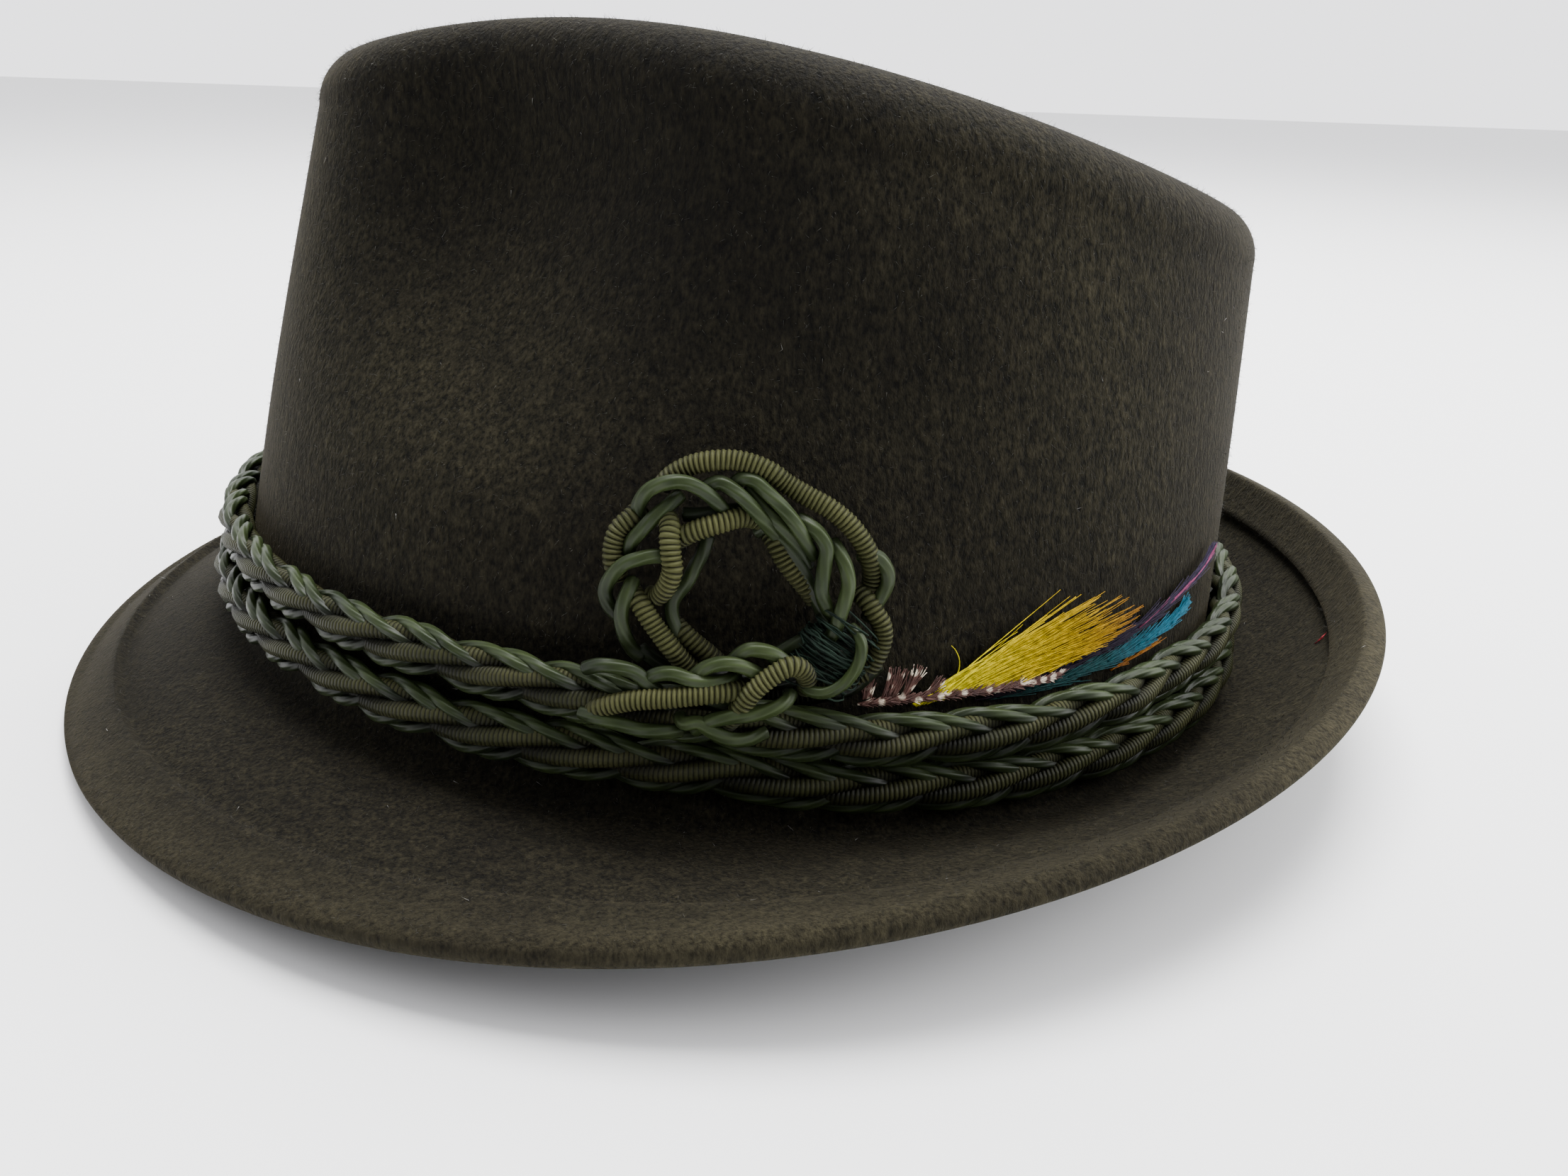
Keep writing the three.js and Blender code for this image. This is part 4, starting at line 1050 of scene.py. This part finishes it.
VIOLET_COLOURS = [(0.0, (0.010, 0.004, 0.009)), (0.6, (0.011, 0.006, 0.018)), (1.0, (0.022, 0.014, 0.040))]
VIOLET_QUILL = ((34.0, 19.0, 1.5), (50.0, 22.6, 1.5), (64.0, 26.0, 1.5), (76.0, 30.0, 1.5), (81.0, 32.6, 1.5))
violet_strands = [
    *barbs(VIOLET_QUILL, 150, (8.0, 9.0, 8.0, 3.0), 6.0, 2.0, 4.0, 41),
    *barbs(VIOLET_QUILL, 150, (8.0, 9.0, 8.0, 3.0), -6.0, 2.0, 3.0, 42),
]
violet = graded_material("violet_barb", 40, 84, VIOLET_COLOURS)
violet_barbs = barb_threads(violet_strands, width=0.15, steps=9)
thread_object("violet_feather", violet_barbs, violet, "violet_feather")

PINK_COLOURS = [(0.0, (0.06, 0.008, 0.02)), (1.0, (0.24, 0.045, 0.12))]
pink_strands = barbs(VIOLET_QUILL[2:], 26, (7.0, 6.0, 3.0), 3.0, 1.5, 4.0, 43, 0.25)
pink = graded_material("pink_barb", 60, 84, PINK_COLOURS)
pink_barbs = barb_threads(pink_strands, width=0.13, steps=9)
thread_object("violet_feather_pink", pink_barbs, pink, "")

YELLOW_COLOURS = [(0.0, (0.66, 0.60, 0.0)), (0.45, (0.54, 0.40, 0.0)), (1.0, (0.26, 0.11, 0.001))]
HACKLE_ROOTS = ((24.5, 19.6), (31.0, 20.8), (40.0, 21.9), (50.0, 23.6))
HACKLE_TIPS = ((47.0, 30.8), (53.5, 33.2), (58.0, 31.8), (62.4, 29.6), (61.4, 27.4), (55.0, 24.6))
LOOSE_ROOTS = ((27.0, 20.6), (34.0, 22.2))
LOOSE_TIPS = ((44.0, 34.6), (50.0, 35.2), (56.0, 33.6))
CURLED_BARB = ((29.6, 22.2, 2.6), (30.6, 24.4, 2.9), (30.4, 26.4, 3.2), (29.6, 27.9, 3.3), (28.9, 28.6, 3.2))
yellow_strands = [
    *sweep(HACKLE_ROOTS, HACKLE_TIPS, 340, 0.7, 51, 2.5),
    *sweep(LOOSE_ROOTS, LOOSE_TIPS, 16, 0.6, 52, 2.9),
    np.array(CURLED_BARB),
]
yellow = graded_material("yellow_barb", 30, 66, YELLOW_COLOURS, 0.6)
yellow_barbs = barb_threads(yellow_strands, width=0.115, steps=12)
thread_object("yellow_hackle", yellow_barbs, yellow, "yellow_hackle")

SPECKLE_COLOURS = [(0.27, (0.62, 0.53, 0.42)), (0.40, (0.085, 0.030, 0.020)), (0.8, (0.045, 0.015, 0.011))]
SPECKLED_QUILL = (
    (15.5, 20.2, 3.2), (22.0, 20.7, 3.3), (30.0, 21.0, 3.3), (40.0, 21.4, 3.3), (47.0, 22.0, 3.2)
)
speckled_strands = [
    *barbs(SPECKLED_QUILL, 300, (2.2, 2.4, 2.4, 2.2), 12.0, 7.0, 10.0, 61, 0.1),
    *barbs(SPECKLED_QUILL, 200, (1.8, 1.8, 1.8, 1.6), -10.0, 6.0, -6.0, 62, 0.1),
    *barbs(((16.2, 21.0, 3.2), (17.4, 21.1, 3.2)), 24, (3.4, 3.2), 76.0, 13.0, 14.0, 63),
    *barbs(((19.0, 21.1, 3.2), (21.0, 21.3, 3.2)), 26, (4.4, 4.6), 58.0, 9.0, 12.0, 64),
    *barbs(((22.0, 21.3, 3.2), (23.0, 21.4, 3.2)), 20, (4.6, 4.6), 52.0, 6.0, 12.0, 65),
    *barbs(((25.5, 21.5, 3.2), (27.0, 21.6, 3.2)), 16, (3.0, 3.0), 40.0, 8.0, 8.0, 66),
]
# White specks with soft edges, one in each cell of a Voronoi pattern over the barbs.
speckle = Finish("speckled_barb", 0.7)
cells = {"Vector": speckle.place(), "Scale": 520.0, "Randomness": 0.7}
specks = speckle.node("TexVoronoi", inputs=cells).outputs["Distance"]
speckled = speckle.made(speckle.ramp(specks, SPECKLE_COLOURS))
speckled_barbs = barb_threads(speckled_strands, width=0.15, steps=7)
thread_object("speckled_feather", speckled_barbs, speckled, "speckled_feather")

# Floor and light: a plain pale ground and soft light from above, for the picture only.
FLOOR_HALF, FLOOR_COLOUR = 3.0, (0.86, 0.86, 0.86, 1.0)
floor_corners = [(x * FLOOR_HALF, y * FLOOR_HALF, 0.0) for x, y in ((-1, -1), (1, -1), (1, 1), (-1, 1))]
floor_mesh = bpy.data.meshes.new("floor")
floor_mesh.from_pydata(floor_corners, [], [(0, 1, 2, 3)])
ground = Finish("pale_floor", 0.7)
ground.shader.inputs["Base Color"].default_value = FLOOR_COLOUR
floor_mesh.materials.append(ground.material)
floor = bpy.data.objects.new("floor", floor_mesh)
bpy.context.scene.collection.objects.link(floor)

lamps = (
    {"name": "sky_light", "place": (0.1, 0.35, 1.1), "size": 0.8, "power": 44.0},
    {"name": "left_light", "place": (-1.1, -0.15, 0.55), "size": 0.7, "power": 0.8},
    {"name": "right_light", "place": (1.1, -0.05, 0.6), "size": 0.7, "power": 11.0},
)
HAT_MIDDLE = (0.0, 0.0, 0.05)
for lamp in lamps:
    light = bpy.data.lights.new(lamp["name"], "AREA")
    light.size = lamp["size"]
    light.energy = lamp["power"]
    lamp_object = bpy.data.objects.new(lamp["name"], light)
    lamp_object.location = lamp["place"]
    towards_hat = Vector(HAT_MIDDLE) - Vector(lamp["place"])
    lamp_object.rotation_euler = towards_hat.to_track_quat("-Z", "Y").to_euler()
    bpy.context.scene.collection.objects.link(lamp_object)

# The surroundings are bright behind the hat and dim in front of it, evenly from one to the other.
BRIGHT_WAY = (0.5, 0.86, 0.0)
BRIGHTNESS = {"From Min": -0.75, "From Max": 0.3, "To Min": 0.3, "To Max": 2.6}
SURROUND_COLOUR = (0.97, 0.97, 1.0, 1.0)
world = bpy.data.worlds.new("pale_surround")
world.use_nodes = True
nodes, links = world.node_tree.nodes, world.node_tree.links
direction = nodes.new("ShaderNodeTexCoord")
toward_back = nodes.new("ShaderNodeVectorMath")
toward_back.operation = "DOT_PRODUCT"
toward_back.inputs[1].default_value = BRIGHT_WAY
brightness = nodes.new("ShaderNodeMapRange")
for name, value in BRIGHTNESS.items():
    brightness.inputs[name].default_value = value
links.new(direction.outputs["Generated"], toward_back.inputs[0])
links.new(toward_back.outputs["Value"], brightness.inputs["Value"])
links.new(brightness.outputs["Result"], nodes["Background"].inputs["Strength"])
nodes["Background"].inputs["Color"].default_value = SURROUND_COLOUR
bpy.context.scene.world = world
